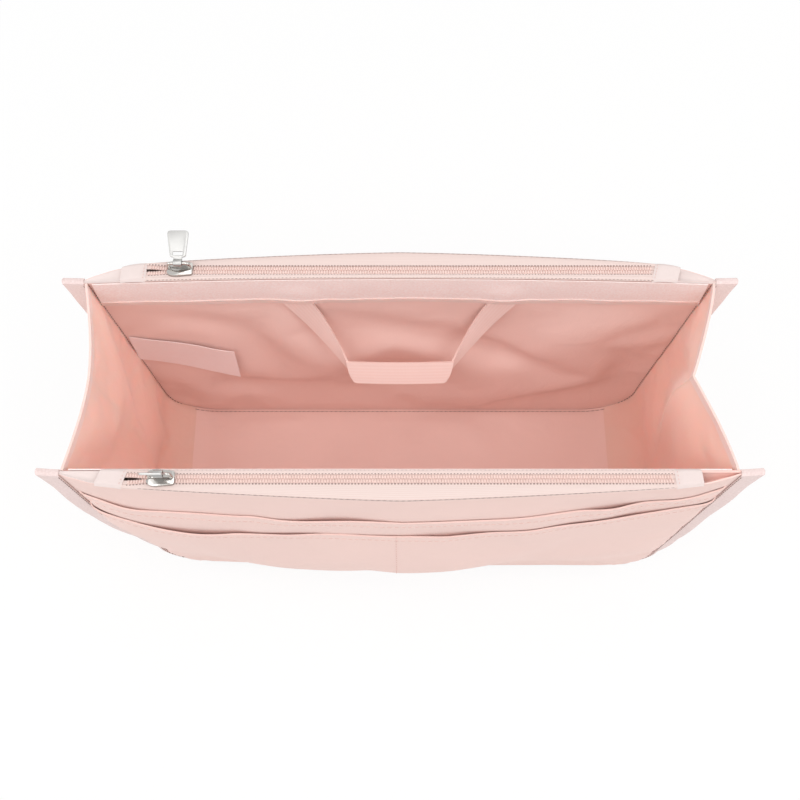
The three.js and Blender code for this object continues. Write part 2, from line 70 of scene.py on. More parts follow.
def box_mm(node):
    """A CAD node's lowest and highest corner in millimetres."""
    low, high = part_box(node)
    return Vector(low) / MM, Vector(high) / MM


# Sizes read from the frame
WALL_LOW_CORNER, WALL_HIGH_CORNER = box_mm("front_inner_panel")
BAND_LOW_CORNER, BAND_HIGH_CORNER = box_mm("front_facing_band")
FLOOR_HIGH_CORNER = box_mm("floor_cloth")[1]
COIL_LOW_CORNER, COIL_HIGH_CORNER = box_mm("front_coil_inner")
TAPE_LOW_CORNER, TAPE_HIGH_CORNER = box_mm("front_tape_inner")
TAB_LOW_CORNER, TAB_HIGH_CORNER = box_mm("front_end_tab_right")

PANEL_LOW = WALL_LOW_CORNER.z
WALL_TOP = WALL_HIGH_CORNER.z
HALF_DEPTH = -WALL_HIGH_CORNER.y
BAND_LOW = BAND_LOW_CORNER.z
# From a wall's compartment side to the pouch's inside, and to the middle of its cloth
PLY = 1.1
HALF_CLOTH = 0.4
# The facing band stops this far from the side seams
BAND_END = 4.0
HALF_WIDTH = BAND_HIGH_CORNER.x + BAND_END
MARGIN = WALL_HIGH_CORNER.x - HALF_WIDTH
FLOOR_HALF = FLOOR_HIGH_CORNER.x
ZIP_HALF = TAPE_HIGH_CORNER.x
# The bottom corners: the frame's radius, and the rounder one of the sewn cloth in the photo
CORNER_R = 14.0
SOFT_CORNER = 28.0
# How much each side seam leans in from the mouth to the foot
SIDE_TAPER = HALF_WIDTH - CORNER_R - FLOOR_HALF
CORNER_FROM = HALF_WIDTH - SIDE_TAPER - SOFT_CORNER
# The bound margin narrows towards the foot
MARGIN_R = 50.0
MARGIN_LOW = 6.5
MARGIN_FOOT = 1.5
# How far the front left foot corner is pushed along the front and into the bag
SLUMP_ALONG = 8.0
SLUMP_IN = 2.5

# Each pouch: the side it is on, how far its wall bows at the mouth, how full it is at the mouth and
# at FILL_AT, its zip's distance from the wall, how much the fullness drops from the middle to the
# seams at the mouth, how far its margins lean, and the seed of its soft unevenness
POUCHES = {
    "front": {"name": "front", "side": -1, "bow": 0.0, "fill_top": 12.6, "fill_mid": 15.5, "zip": 3.8,
              "mouth_drop": 0.63, "lean": -1.0, "seed": 3.1},
    "back": {"name": "back", "side": 1, "bow": 2.6, "fill_top": 12.0, "fill_mid": 16.5, "zip": 6.2,
             "mouth_drop": 0.45, "lean": 0.0, "seed": 7.7},
}
SIGNS = {"left": -1, "right": 1}
# The height where a pouch is fullest, and the curves of its fullness below it and across it
FILL_AT = 60.0
FOOT_POWER = 0.85
ACROSS_DROP = 0.63
ACROSS_POWER = 1.25
SEAM_POWER = 12
# The side seams pucker the outer walls: how deep, and how far apart
PUCKER = 0.3
PUCKER_PITCH = 7.5

# Slip pockets: how many cloths each lies over, its edge's drop below the mouth, its rise towards the
# left and right seam, its wave, and where it gapes open: (middle, reach, depth). The hem starts at
# a share of the pocket's height.
SLIP_LOW = 5.0
SLIP_PLY = 0.9
HEM_FROM = 0.955
HEM_LENGTH = 272.0
DIVIDER_LENGTH = 96.0
SLIPS = {
    "front_slip_upper": {"ply": 1, "drop": 24.0, "rise": (4, 12), "wave": 1.4, "cycles": 3.5,
                         "gapes": ((-120, 16, 0.5), (-30, 30, 1.1), (92, 16, 1.2))},
    "front_slip_lower": {"ply": 2, "drop": 43.5, "rise": (10, 20), "wave": 1.8, "cycles": 2.5,
                         "gapes": ((-92, 34, 1.4), (-50, 20, 0.5), (24, 24, 0.9), (96, 32, 0.8))},
}
WEB = 12.5

# Each kind of cloth piece: (finish, columns and rows of its mesh, width and height of the cloth,
# drawn thickness)
CUTS = {
    "inner_wall": ("inner", 150, 84, 299, 150, 0.7),
    "outer_wall": ("outer", 150, 84, 300, 155, 0.7),
    "slip": ("outer", 150, 60, 280, 118, 0.45),
    "slip_hem": ("outer", 150, 4, 280, 5, 0.35),
    "binding": ("binding", 100, 24, 150, 20, 0.45),
    "band": ("band", 150, 12, 275, 19, 0.5),
    "band_hem": ("hem", 150, 3, 275, 3, 1.2),
    "tape_inner": ("tape", 110, 8, 226, 2, 0.6),
    "tape_outer": ("tape", 110, 8, 226, 8, 0.6),
    "coil_cord": ("tape", 60, 4, 228, 2, 0.35),
    "end_tab": ("tab", 20, 20, 11, 9, 1.0),
    "tuck": ("tab", 20, 12, 16, 6, 0.6),
    "deep_tuck": ("inner", 20, 12, 16, 6, 0.6),
    "gusset": ("gusset", 36, 90, 44, 165, 0.7),
    "gusset_hem": ("hem", 36, 3, 44, 3, 1.1),
    "lining": ("inner", 110, 60, 211, 87, 0.5),
    "floor": ("outer", 80, 24, 211, 87, 0.8),
    "leg": ("webbing", 44, 10, 64, WEB, 1.1),
    "bar": ("webbing", 40, 12, 52, WEB, 1.1),
    "label": ("label", 40, 16, 50, 25, 0.35),
}
# Where the label leaves the seam, and how far its other end hangs lower
LABEL_X = -132.8
LABEL_Z = 83.0
LABEL_FALL = 12.0

# Rows of stitches: (thread, stitch length, gap, thread radius). A gap below 0 closes the row to a line, as the
# photo shows it:
# a painted shadow line along a fold or a join.
ROWS = {
    "hem": ("thread", 2.2, 0.8, 0.16),
    "divider": ("thread", 2.0, 0.8, 0.22),
    "tab_tack": ("thread", 0.9, 0.5, 0.16),
    # The dark thread is real stitching whose dark colour also paints the shade lines along the coil, tapes and
    # seams
    "coil_inner": ("dark_thread_and_painted_shade", 0.9, 0.45, 0.22),
    "coil_outer": ("dark_thread_and_painted_shade", 0.9, 0.45, 0.33),
    "tape_inner": ("dark_thread_and_painted_shade", 1.1, 0.6, 0.17),
    "tape_outer": ("dark_thread_and_painted_shade", 3.0, -0.5, 0.17),
    "seam_outer": ("dark_thread_and_painted_shade", 1.9, 0.2, 0.28),
    "seam_inner": ("dark_thread_and_painted_shade", 1.9, 0.2, 0.2),
    # Inside the bag the brown thread is coloured as the seams' shade: partly real stitching, partly painted
    # shade
    "seam_corner": ("brown_thread_and_painted_shade", 1.9, 0.2, 0.21),
    "floor": ("brown_thread_and_painted_shade", 3.0, -0.4, 0.18),
}


# Small sums

def linear(hexadecimal):
    """An sRGB hex colour as linear red, green and blue."""
    channels = [int(hexadecimal[i:i + 2], 16) / 255 for i in (1, 3, 5)]
    return tuple(c / 12.92 if c <= 0.04045 else ((c + 0.055) / 1.055) ** 2.4 for c in channels)


def smooth(t):
    t = min(1.0, max(0.0, t))
    return t * t * (3 - 2 * t)


def bump(value, middle, reach):
    """1 at the middle, 0 from reach outwards."""
    return smooth(1 - abs(value - middle) / reach)


def arch(t):
    """1 in the middle, 0 at both ends."""
    return math.sin(math.pi * t)


def soft(x, z, seed, wide, high):
    """Soft unevenness from -1 to 1."""
    return noise.noise(Vector((x / wide, z / high, seed)))


def spline_weights(t):
    return 0.5 * (1 - t) ** 2, 0.5 + t * (1 - t), 0.5 * t * t


class Folds:
    """Heights of the folds in a panel, in millimetres, on a grid from 0 to 1 both ways."""

    def __init__(self, heights, scale, limit):
        self.rows = [[limit * math.tanh(scale * h / limit) for h in row] for row in heights]

    def __call__(self, u, v):
        """The height at a point, smoothly between the grid's own."""
        rows, columns = len(self.rows), len(self.rows[0])
        a = min(max(v, 0), 1) * (rows - 1)
        b = min(max(u, 0), 1) * (columns - 1)
        i, j = int(a + 0.5), int(b + 0.5)
        total = 0.0
        for di, wi in zip((-1, 0, 1), spline_weights(a - i + 0.5)):
            row = self.rows[min(max(i + di, 0), rows - 1)]
            for dj, wj in zip((-1, 0, 1), spline_weights(b - j + 0.5)):
                total += wi * wj * row[min(max(j + dj, 0), columns - 1)]
        return total


FOLDS = {}


def crease(x, z, line):
    """Height of one drawn fold at a point: (x0, z0, x1, z1, width, depth)."""
    x0, z0, x1, z1, width, depth = line
    along, spot = Vector((x1 - x0, z1 - z0)), Vector((x - x0, z - z0))
    t = min(1.0, max(0.0, spot.dot(along) / along.length_squared))
    off = (spot - along * t).length
    return depth * math.exp(-(off / width) ** 2) * (0.35 + 0.65 * arch(min(1, t + 0.15)))


# The cloth simulation of the panels
FOLD_CELL = 3.5
SETTLING_FRAMES = 26
SETTLING = {"quality": 5, "mass": 0.15, "tension_stiffness": 40, "compression_stiffness": 40,
            "shear_stiffness": 5, "bending_stiffness": 8.0, "air_damping": 2, "vertex_group_mass": "seams"}


def settle(panel, fullness):
    """Lets a panel that is cut a little full buckle into its folds."""
    cloth = panel.modifiers.new("Cloth", "CLOTH")
    for key, value in SETTLING.items():
        setattr(cloth.settings, key, value)
    cloth.settings.shrink_min = -fullness
    cloth.settings.effector_weights.gravity = 0
    cloth.collision_settings.use_collision = False
    cloth.point_cache.frame_end = SETTLING_FRAMES + 1
    for frame_number in range(1, SETTLING_FRAMES + 1):
        bpy.context.scene.frame_set(frame_number)
    pick(panel)
    bpy.ops.object.modifier_apply(modifier=cloth.name)
    bpy.context.scene.frame_set(1)


def make_folds(name, size, creases, cut, seed):
    """Works out how a panel folds that is pinned at its seams, and keeps the heights under a name."""
    fullness, scale, limit = cut
    columns, rows = round(size[0] / FOLD_CELL), round(size[1] / FOLD_CELL)
    panel, spots = flat_grid(columns, rows)
    seams = panel.vertex_groups.new(name="seams")
    for vertex, (u, v) in zip(panel.data.vertices, spots):
        x, z = u * size[0], v * size[1]
        uneven = 0.8 * soft(x, z, seed, 50, 35) + sum(crease(x - size[0] / 2, z, line) for line in creases)
        inside = min(1.0, 8 * min(u, 1 - u, v, 1 - v))
        vertex.co = Vector((x, z, inside * uneven)) * MM
        if inside < 0.001:
            seams.add([vertex.index], 1.0, "REPLACE")
    settle(panel, fullness)
    heights = [[0.0] * (columns + 1) for _ in range(rows + 1)]
    for vertex, (u, v) in zip(panel.data.vertices, spots):
        heights[round(v * rows)][round(u * columns)] = vertex.co.z / MM
    bpy.data.objects.remove(panel)
    FOLDS[name] = Folds(heights, scale, limit)


# Where the photographed cloth folds, from the middle of each panel's foot
WALL_CREASES = {
    "back_inner": ((-42, 118, 48, 70, 9, 4.0), (20, 92, 96, 52, 8, 3.5), (-60, 96, -24, 44, 12, -3.5),
                   (96, 108, 62, 60, 13, -3.0), (-128, 120, -70, 100, 9, 2.5), (-100, 40, -20, 22, 9, 3.0),
                   (40, 26, 110, 40, 9, -2.5)),
    "front_inner": ((-70, 110, 10, 60, 10, 3.0), (100, 110, 30, 50, 11, -3.0), (-20, 30, 60, 22, 9, 2.5)),
    "front_outer": ((-120, 120, -60, 40, 14, 2.5), (110, 118, 60, 36, 14, -2.5), (-30, 90, 20, 30, 12, 2.0)),
    "back_outer": ((-110, 122, -20, 60, 13, 3.0), (118, 120, 40, 30, 13, -3.0), (10, 110, 30, 40, 12, 2.5),
                   (-80, 40, -10, 20, 10, -2.5)),
}
# Each fold: (x0, z0, x1, z1, width, depth); on the floor y stands for z, from its front edge
FLOOR_CREASES = ((-70, 70, -20, 30, 9, 1.5), (30, 78, 70, 40, 10, 1.5), (60, 30, 95, 60, 9, -1.2))

# Where the label holds the wall flat: (middle, reach)
LABEL_CALM_X = (-112.0, 50.0)
LABEL_CALM_Z = (77.0, 44.0)

# How full each panel is cut, and how much of its folds shows: (fullness, scale, limit in mm)
WALL_FULLNESS = {"back_inner": (0.008, 1.2, 5.5), "front_inner": (0.007, 1.0, 4.5),
                 "front_outer": (0.006, 0.6, 3.0), "back_outer": (0.006, 0.6, 3.0)}
GUSSET_FULLNESS = (0.011, 0.85, 4.0)
FLOOR_FULLNESS = (0.006, 0.8, 2.2)


# The bag's shape, as its frame has it

def rounded_half(z, low, radius, corner, top):
    up = z - low
    if up < radius:
        return corner - radius + math.sqrt(max(0.0, radius ** 2 - (radius - up) ** 2))
    return corner + (top - corner) * (up - radius) / (WALL_TOP - low - radius)


def seam_half(z):
    """Half width of the wall's seam line at a height."""
    return rounded_half(z, 0.4, SOFT_CORNER, HALF_WIDTH - SIDE_TAPER, HALF_WIDTH)


def corner_rise(x):
    """How far the cloth has risen from the flat foot, towards a bottom corner."""
    past = min(SOFT_CORNER, max(0.0, abs(x) - CORNER_FROM))
    return SOFT_CORNER - math.sqrt(SOFT_CORNER ** 2 - past ** 2)


def margin_half(z):
    """Half width of the margin's edge at a height."""
    round_edge = rounded_half(z, PANEL_LOW, MARGIN_R, HALF_WIDTH - SIDE_TAPER + MARGIN_LOW,
                              HALF_WIDTH + MARGIN)
    return max(seam_half(z) + MARGIN_FOOT, round_edge)


def margin_wave(pouch, x, z):
    """The loose margin leans and waves a little outside the seam."""
    out = max(0.0, (abs(x) - seam_half(z)) / MARGIN)
    end = math.copysign(40, x)
    lean = pouch["lean"] * out ** 1.3 * smooth((z - 112) / 34)
    waves = 1.1 * soft(end, z, pouch["seed"], 30, 24) + 0.25 * soft(end, z, pouch["seed"], 30, 9)
    return lean + out * waves * smooth((z - 15) / 50)


def wall_folds(pouch, face, x, z):
    calm = 0.0
    if (pouch["name"], face) == ("back", "inner"):
        calm = bump(x, *LABEL_CALM_X) * bump(z, *LABEL_CALM_Z)
    return (1 - calm) * FOLDS[f"{pouch['name']}_{face}"]((x / seam_half(z) + 1) / 2, z / WALL_TOP)


def bowed(pouch, t, z):
    """How far the wall bows out towards its mouth, t from its middle to a seam."""
    return pouch["bow"] * (1 - t * t) * (max(0.0, z) / WALL_TOP) ** 1.5


def inner_face(pouch, x, z):
    """Distance from the bag's middle to the compartment side of a wall."""
    t = min(1.0, abs(x) / seam_half(z))
    held = smooth((WALL_TOP - 14 - z) / 40) * smooth(z / 16)
    folds = held * wall_folds(pouch, "inner", x, z) if t < 1 else 0.0
    if folds > 0:
        room = max(0.2, 0.6 * (fill(pouch, z) - PLY) * fill_across(pouch, t, z))
        folds = room * math.tanh(folds / room)
    return HALF_DEPTH + bowed(pouch, t, z) + folds + margin_wave(pouch, x, z)


def fill(pouch, z):
    """How far the pouch fills out at a height."""
    if z > FILL_AT:
        t = (z - FILL_AT) / (WALL_TOP - FILL_AT)
        return pouch["fill_mid"] - (pouch["fill_mid"] - pouch["fill_top"]) * t * t
    return pouch["fill_mid"] * smooth(z / FILL_AT) ** FOOT_POWER


def fill_across(pouch, t, z):
    drop = ACROSS_DROP + (pouch["mouth_drop"] - ACROSS_DROP) * smooth((z - FILL_AT) / (WALL_TOP - FILL_AT))
    return 1 - drop * t ** ACROSS_POWER - (1 - drop) * t ** SEAM_POWER


def outer_middle(pouch, x, z):
    """A point on the middle of the outer wall's cloth."""
    t = min(1.0, abs(x) / seam_half(z))
    off = PLY + max(0.0, fill(pouch, z) - PLY) * fill_across(pouch, t, z)
    held = smooth((WALL_TOP - z) / 22) * smooth(z / 24)
    folds = wall_folds(pouch, "outer", x, z) if t < 1 else 0.0
    pucker = PUCKER * bump(t, 0.95, 0.05) * math.sin(z * 2 * math.pi / PUCKER_PITCH)
    swell = off + bowed(pouch, t, z) + held * folds + pucker
    return Vector((x, pouch["side"] * (HALF_DEPTH + HALF_CLOTH + swell + margin_wave(pouch, x, z)), z))


def outward(pouch, x, z):
    """The way out of the outer wall at a point."""
    across = outer_middle(pouch, x + 1, z) - outer_middle(pouch, x - 1, z)
    up = outer_middle(pouch, x, z + 1) - outer_middle(pouch, x, z - 1)
    normal = across.cross(up).normalized()
    return -normal if normal.y * pouch["side"] < 0 else normal


def outer_edge(pouch, x):
    return abs(outer_middle(pouch, x, WALL_TOP).y) + HALF_CLOTH


def inner_edge(pouch, x):
    return inner_face(pouch, x, WALL_TOP)


def row_height(v, low, top):
    """Rows lie close together round the bottom corner."""
    return low + (top - low) * (1 - math.cos(v * math.pi / 2))


def slumped(spot):
    """The cloth as it stands in the photo: the front left foot corner is pushed in."""
    x, y, z = spot
    share = smooth((-x - 30) / 100) * smooth((12 - y) / 55) * smooth((100 - z) / 75)
    return Vector((x + SLUMP_ALONG * share, y + SLUMP_IN * share, z))


# Mesh helpers

def deselect():
    bpy.ops.object.select_all(action="DESELECT")


def pick(piece):
    """Makes a piece the active one and the only one selected."""
    deselect()
    piece.select_set(True)
    bpy.context.view_layer.objects.active = piece


def add_object(name, data):
    made = bpy.data.objects.new(name, data)
    bpy.context.collection.objects.link(made)
    return made


def flat_grid(columns, rows):
    """A flat grid, and where each of its vertices lies on it, from 0 to 1 both ways."""
    deselect()
    bpy.ops.mesh.primitive_grid_add(x_subdivisions=columns, y_subdivisions=rows, size=2)
    grid = bpy.context.object
    return grid, [((vertex.co.x + 1) / 2, (vertex.co.y + 1) / 2) for vertex in grid.data.vertices]


def own(piece, name, material):
    piece.name = name
    piece.data.name = name
    piece.data.materials.clear()
    piece.data.materials.append(material)
    return piece


def finish_mesh(piece, angle=math.radians(40)):
    """Makes the faces point outwards and shades the piece smooth."""
    pick(piece)
    bpy.ops.object.mode_set(mode="EDIT")
    bpy.ops.mesh.select_all(action="SELECT")
    bpy.ops.mesh.normals_make_consistent(inside=False)
    bpy.ops.object.mode_set(mode="OBJECT")
    bpy.ops.object.shade_smooth_by_angle(angle=angle)


def apply_modifier(piece, kind, **settings):
    pick(piece)
    modifier = piece.modifiers.new(kind.title(), kind)
    for key, value in settings.items():
        setattr(modifier, key, value)
    bpy.ops.object.modifier_apply(modifier=modifier.name)


def cloth_grid(name, cut, place):
    """Cloth: a grid laid point by point where place(u, v) says, then given its thickness.
    Its UV map holds real metres along the cloth, for weave."""
    finish, columns, rows, wide, high, thickness = CUTS[cut]
    piece, spots = flat_grid(columns, rows)
    for vertex, spot in zip(piece.data.vertices, spots):
        vertex.co = slumped(place(*spot)) * MM
    uv = piece.data.uv_layers.active.data
    for loop in piece.data.loops:
        u, v = spots[loop.vertex_index]
        uv[loop.index].uv = (u * wide * MM, v * high * MM)
    own(piece, name, MATERIALS[finish])
    apply_modifier(piece, "SOLIDIFY", thickness=thickness * MM, offset=0, use_even_offset=True)
    finish_mesh(piece)
    return piece


def sewn(name, cut, place, body, node=None):
    """Cloth that moves with one body, in place of a CAD node if one is named."""
    piece = cloth_grid(name, cut, place)
    if node:
        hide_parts(node)
    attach(piece, body)
    return piece


def repeat(name, material, prototype, places):
    """One small modelled shape, copied into a single mesh at each place. Its faces are put in order,
    because Blender's sphere has them in another one each time."""
    spots = [vertex.co.copy() for vertex in prototype.data.vertices]
    faces = sorted(tuple(face.vertices) for face in prototype.data.polygons)
    bpy.data.objects.remove(prototype)
    vertices, polygons = [], []
    for place in places:
        first = len(vertices)
        vertices += [place @ spot for spot in spots]
        polygons += [[first + corner for corner in face] for face in faces]
    mesh = bpy.data.meshes.new(name)
    mesh.from_pydata(vertices, [], polygons)
    piece = own(add_object(name, mesh), name, material)
    finish_mesh(piece)
    return piece


def bead(length, wide, high, segments=8, rings=6, square=1.0):
    """A small rounded bead, long in X; below 1, square makes it boxier."""
    deselect()
    bpy.ops.mesh.primitive_uv_sphere_add(segments=segments, ring_count=rings, radius=0.5)
    piece = bpy.context.object
    for vertex in piece.data.vertices:
        x, y, z = (math.copysign(0.5 * abs(2 * c) ** square, c) for c in vertex.co)
        vertex.co = Vector((x * length, y * wide, z * high)) * MM
    return piece


def stitches(name, row, line, total, ride_on):
    """A row of stitches along line(s), where s runs from 0 to the total in millimetres."""
    thread, length, gap, radius = ROWS[row]
    count = max(1, int(total / (length + gap)))
    step = total / count
    places = []
    for k in range(count):
        a = slumped(line(k * step + gap / 2))
        b = slumped(line((k + 1) * step - gap / 2))
        along = (b - a).normalized()
        turn = along.to_track_quat("X", "Z").to_matrix().to_4x4()
        places.append(Matrix.Translation((a + b) / 2 * MM) @ turn)
    piece = repeat(name, MATERIALS[thread], bead(length, radius * 2, radius * 1.5, 6, 4), places)
    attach(piece, ride_on)
    return piece


# Materials

def add_node(tree, kind, inputs=None, **settings):
    """Adds a node; an input that is a socket is linked, any other is set."""
    made = tree.nodes.new(kind)
    for key, value in settings.items():
        setattr(made, key, value)
    for key, value in (inputs or {}).items():
        if isinstance(value, bpy.types.NodeSocket):
            tree.links.new(value, made.inputs[key])
        else:
            made.inputs[key].default_value = value
    return made


def start_material(name, roughness, metallic=0.0, **sockets):
    material = bpy.data.materials.new(name)
    material.use_nodes = True
    shader = material.node_tree.nodes["Principled BSDF"]
    shader.inputs["Roughness"].default_value = roughness
    shader.inputs["Metallic"].default_value = metallic
    for key, value in sockets.items():
        shader.inputs[key.replace("_", " ")].default_value = value
    return material, material.node_tree, shader


def tint(tree, shader, colour, shade, factor):
    """Colour that varies between two close shades."""
    mix = add_node(tree, "ShaderNodeMix", {"Factor": factor}, data_type="RGBA")
    mix.inputs["A"].default_value = (*colour, 1)
    mix.inputs["B"].default_value = (*shade, 1)
    tree.links.new(mix.outputs["Result"], shader.inputs["Base Color"])


def relief(tree, shader, height, strength, distance_mm, below=None):
    inputs = {"Strength": strength, "Distance": distance_mm * MM, "Height": height}
    if below is not None:
        inputs["Normal"] = below
    made = add_node(tree, "ShaderNodeBump", inputs)
    tree.links.new(made.outputs["Normal"], shader.inputs["Normal"])
    return made.outputs["Normal"]


def ribs(tree, direction, pitch_mm):
    """Even ribs on the cloth's own UV map, which is in metres: U along the piece, V across it.
    A wave texture of scale 1 repeats every 0.314159 m."""
    uv = add_node(tree, "ShaderNodeUVMap").outputs["UV"]
    wave = add_node(tree, "ShaderNodeTexWave", {"Vector": uv, "Scale": 314.159 / pitch_mm},
                    wave_type="BANDS", bands_direction=direction)
    return wave.outputs["Fac"]


def calculate(tree, operation, a, b):
    return add_node(tree, "ShaderNodeMath", {0: a, 1: b}, operation=operation).outputs["Value"]


def spot_on(tree):
    """The place on the piece, in its own metres."""
    return add_node(tree, "ShaderNodeTexCoord").outputs["Object"]


def mottle(tree, scale, detail, **more):
    """Noise over the piece."""
    inputs = {"Vector": spot_on(tree), "Scale": scale, "Detail": detail, **more}
    return add_node(tree, "ShaderNodeTexNoise", inputs).outputs["Fac"]


def spread(tree, value, low, high, to_low=0.0, to_high=1.0, **settings):
    """A value between low and high, spread out between two other ends."""
    ends = {"From Min": low, "From Max": high, "To Min": to_low, "To Max": to_high}
    made = add_node(tree, "ShaderNodeMapRange", {"Value": value, **ends}, **settings)
    return made.outputs["Result"]


def nylon_cloth(name, colour, shade, thin=0.0, doubled_below=0.0):
    """Plain-woven nylon taffeta: matt, a faint sheen, crinkled all over, and light comes through
    where it is a single thin layer, less so near the foot, where seams double it. Its 0.2 mm
    threads are too fine to show and are drawn 0.8 mm apart."""
    material, tree, shader = start_material(name, 0.8, Sheen_Weight=0.1, Sheen_Roughness=0.5,
                                            Subsurface_Weight=thin, Subsurface_Scale=1.2 * MM)
    shader.inputs["Subsurface Radius"].default_value = (1.0, 0.55, 0.45)
    if doubled_below:
        height = add_node(tree, "ShaderNodeSeparateXYZ", {0: spot_on(tree)}).outputs["Z"]
        single = spread(tree, height, 0.1 * doubled_below * MM, doubled_below * MM, 0.25 * thin, thin,
                        interpolation_type="SMOOTHSTEP")
        tree.links.new(single, shader.inputs["Subsurface Weight"])
    tint(tree, shader, colour, shade, mottle(tree, 26.0, 4.0))
    crumpled = relief(tree, shader, mottle(tree, 70.0, 5.0, Distortion=0.6), 0.45, 1.2)
    weave = calculate(tree, "MULTIPLY", ribs(tree, "X", 0.8), ribs(tree, "Y", 0.8))
    relief(tree, shader, weave, 0.2, 0.06, crumpled)
    return material


def felted_band(name, colour, shade):
    """Bonded interlining: short fibres pressed together, seen as a fine speckle of about 0.5 mm."""
    material, tree, shader = start_material(name, 0.85, Sheen_Weight=0.1, Sheen_Roughness=0.5)
    speckle = spread(tree, mottle(tree, 1100.0, 2.0), 0.3, 0.74)
    tint(tree, shader, colour, shade, speckle)
    uneven = relief(tree, shader, mottle(tree, 90.0, 3.0), 0.3, 0.8)
    relief(tree, shader, speckle, 0.12, -0.1, uneven)
    return material


def zip_weave(name, colour, shade):
    """Knitted polyester zip tape: wales run along the zip, about 0.9 mm apart."""
    material, tree, shader = start_material(name, 0.78, Sheen_Weight=0.1, Sheen_Roughness=0.5)
    wales = ribs(tree, "Y", 0.9)
    tint(tree, shader, shade, colour, wales)
    relief(tree, shader, calculate(tree, "MULTIPLY", wales, ribs(tree, "X", 0.6)), 0.25, 0.06)
    return material


def webbing_weave(name, colour, shade):
    """Flat nylon webbing: soft lengthwise rows 1.8 mm apart, with picks across them."""
    material, tree, shader = start_material(name, 0.75, Sheen_Weight=0.15, Sheen_Roughness=0.5)
    rows = ribs(tree, "Y", 1.8)
    tint(tree, shader, shade, colour, rows)
    relief(tree, shader, ribs(tree, "X", 0.7), 0.2, 0.06, relief(tree, shader, rows, 0.12, 0.08))
    return material


def plain_finish(name, colour, shade, roughness=0.6, **sockets):
    """Spun or moulded pieces: two close shades and a very fine unevenness."""
    material, tree, shader = start_material(name, roughness, **sockets)
    fine = mottle(tree, 300.0, 3.0)
    tint(tree, shader, colour, shade, fine)
    relief(tree, shader, fine, 0.3, 0.02)
    return material


def plated_casting(name, colour, recess_shade_colour, roughness):
    """Nickel-plated zinc die casting, tumbled bright, with painted shade darkening its recesses."""
    material, tree, shader = start_material(name, roughness, 1.0)
    # Painted shade and painted dark reflections: ambient occlusion darkens the recesses
    recess_occlusion = add_node(tree, "ShaderNodeAmbientOcclusion", {"Distance": 2.5 * MM}, samples=8)
    tint(tree, shader, recess_shade_colour, colour, spread(tree, recess_occlusion.outputs["AO"], 0.25, 0.85))
    relief(tree, shader, mottle(tree, 500.0, 2.0), 0.15, 0.03)
    return material


# Each finish: (its maker, name, colour, shade, what else the maker is told)
FINISHES = {
    "gusset": (nylon_cloth, "thin_nylon_taffeta", "#F4CFC1", "#F0CABC", {"thin": 1.0, "doubled_below": 42.0}),
    "hem": (nylon_cloth, "nylon_taffeta_hem", "#F3D8D1", "#EFD0C8", {"thin": 0.4}),
    "band": (felted_band, "bonded_facing", "#FFF0ED", "#FAE2DD", {}),
    "binding": (felted_band, "bonded_binding", "#EFDBD8", "#E3CCC8", {}),
    "tape": (zip_weave, "polyester_zip_tape", "#E6D2CC", "#E1CAC3", {}),
    "coil": (plain_finish, "nylon_monofilament_coil", "#ECD0C8", "#E4C5BC", {"roughness": 0.38}),
    "tab": (nylon_cloth, "nylon_taffeta_tab", "#E8D9D5", "#E2D1CD", {}),
    "webbing": (webbing_weave, "nylon_webbing", "#FBDFD8", "#F9DAD2", {}),
    "label": (plain_finish, "polyester_satin_ribbon", "#FFEDEC", "#FDE6E4",
              {"roughness": 0.4, "Sheen_Weight": 0.3, "Anisotropic": 0.5}),
    "thread": (plain_finish, "polyester_thread", "#E9C6BD", "#D9B0A6", {}),
    # Real grey thread, dark enough to paint the shade lines in the seams and along the zip
    "dark_thread_and_painted_shade": (plain_finish, "polyester_thread_grey", "#A58D86", "#866F69", {}),
    # Brown thread coloured as the shaded seams inside: real stitching with painted shade
    "brown_thread_and_painted_shade": (plain_finish, "polyester_thread_brown", "#A88077", "#926A61", {}),
    # For the metals the shade is the painted shade of their recesses
    "slider": (plated_casting, "nickel_plated_zinc", "#BDBAB6", "#3F3B38", {"roughness": 0.18}),
    "pull": (plated_casting, "satin_plated_zinc", "#B4B3B1", "#827E7B", {"roughness": 0.42}),
}
MATERIALS = {}


def make_materials(colours):
    for key, name, colour in (("outer", "nylon_taffeta_outer", colours.outer_cloth),
                              ("inner", "nylon_taffeta_lining", colours.inner_cloth)):
        MATERIALS[key] = nylon_cloth(name, tuple(colour), tuple(channel * 0.95 for channel in colour))
    for key, (maker, name, colour, shade, more) in FINISHES.items():
        MATERIALS[key] = maker(name, linear(colour), linear(shade), **more)


# Pieces

# The share of a wall's mesh columns that lies in its two bound margins
MARGIN_COLUMNS = 8 / 150


def wall_x(u, z):
    """Columns across a wall, with one exactly on each seam."""
    t = u * 2 - 1
    edge = 1 - MARGIN_COLUMNS
    seam, margin = seam_half(z), margin_half(z)
    if abs(t) <= edge:
        return t / edge * seam
    return math.copysign(seam + 0.75 * (abs(t) - edge) / (1 - edge) * (margin - seam), t)


def pressed(x, z):
    """How far a wall is pressed towards the other one in the bound margin."""
    return 0.35 * smooth((abs(x) - seam_half(z)) / 2.0)


def make_wall(word, face):
    """The inner or the outer wall of a pouch."""
    pouch = POUCHES[word]

    def place(u, v):
        z = row_height(v, PANEL_LOW, WALL_TOP)
        x = wall_x(u, z)
        if face == "inner":
            return x, pouch["side"] * (inner_face(pouch, x, z) + HALF_CLOTH + pressed(x, z)), z
        return outer_middle(pouch, x, z) - Vector((0, pouch["side"] * pressed(x, z), 0))

    sewn(f"{word}_{face}_wall_cloth", f"{face}_wall", place, f"{word}_pouch", f"{word}_{face}_panel")


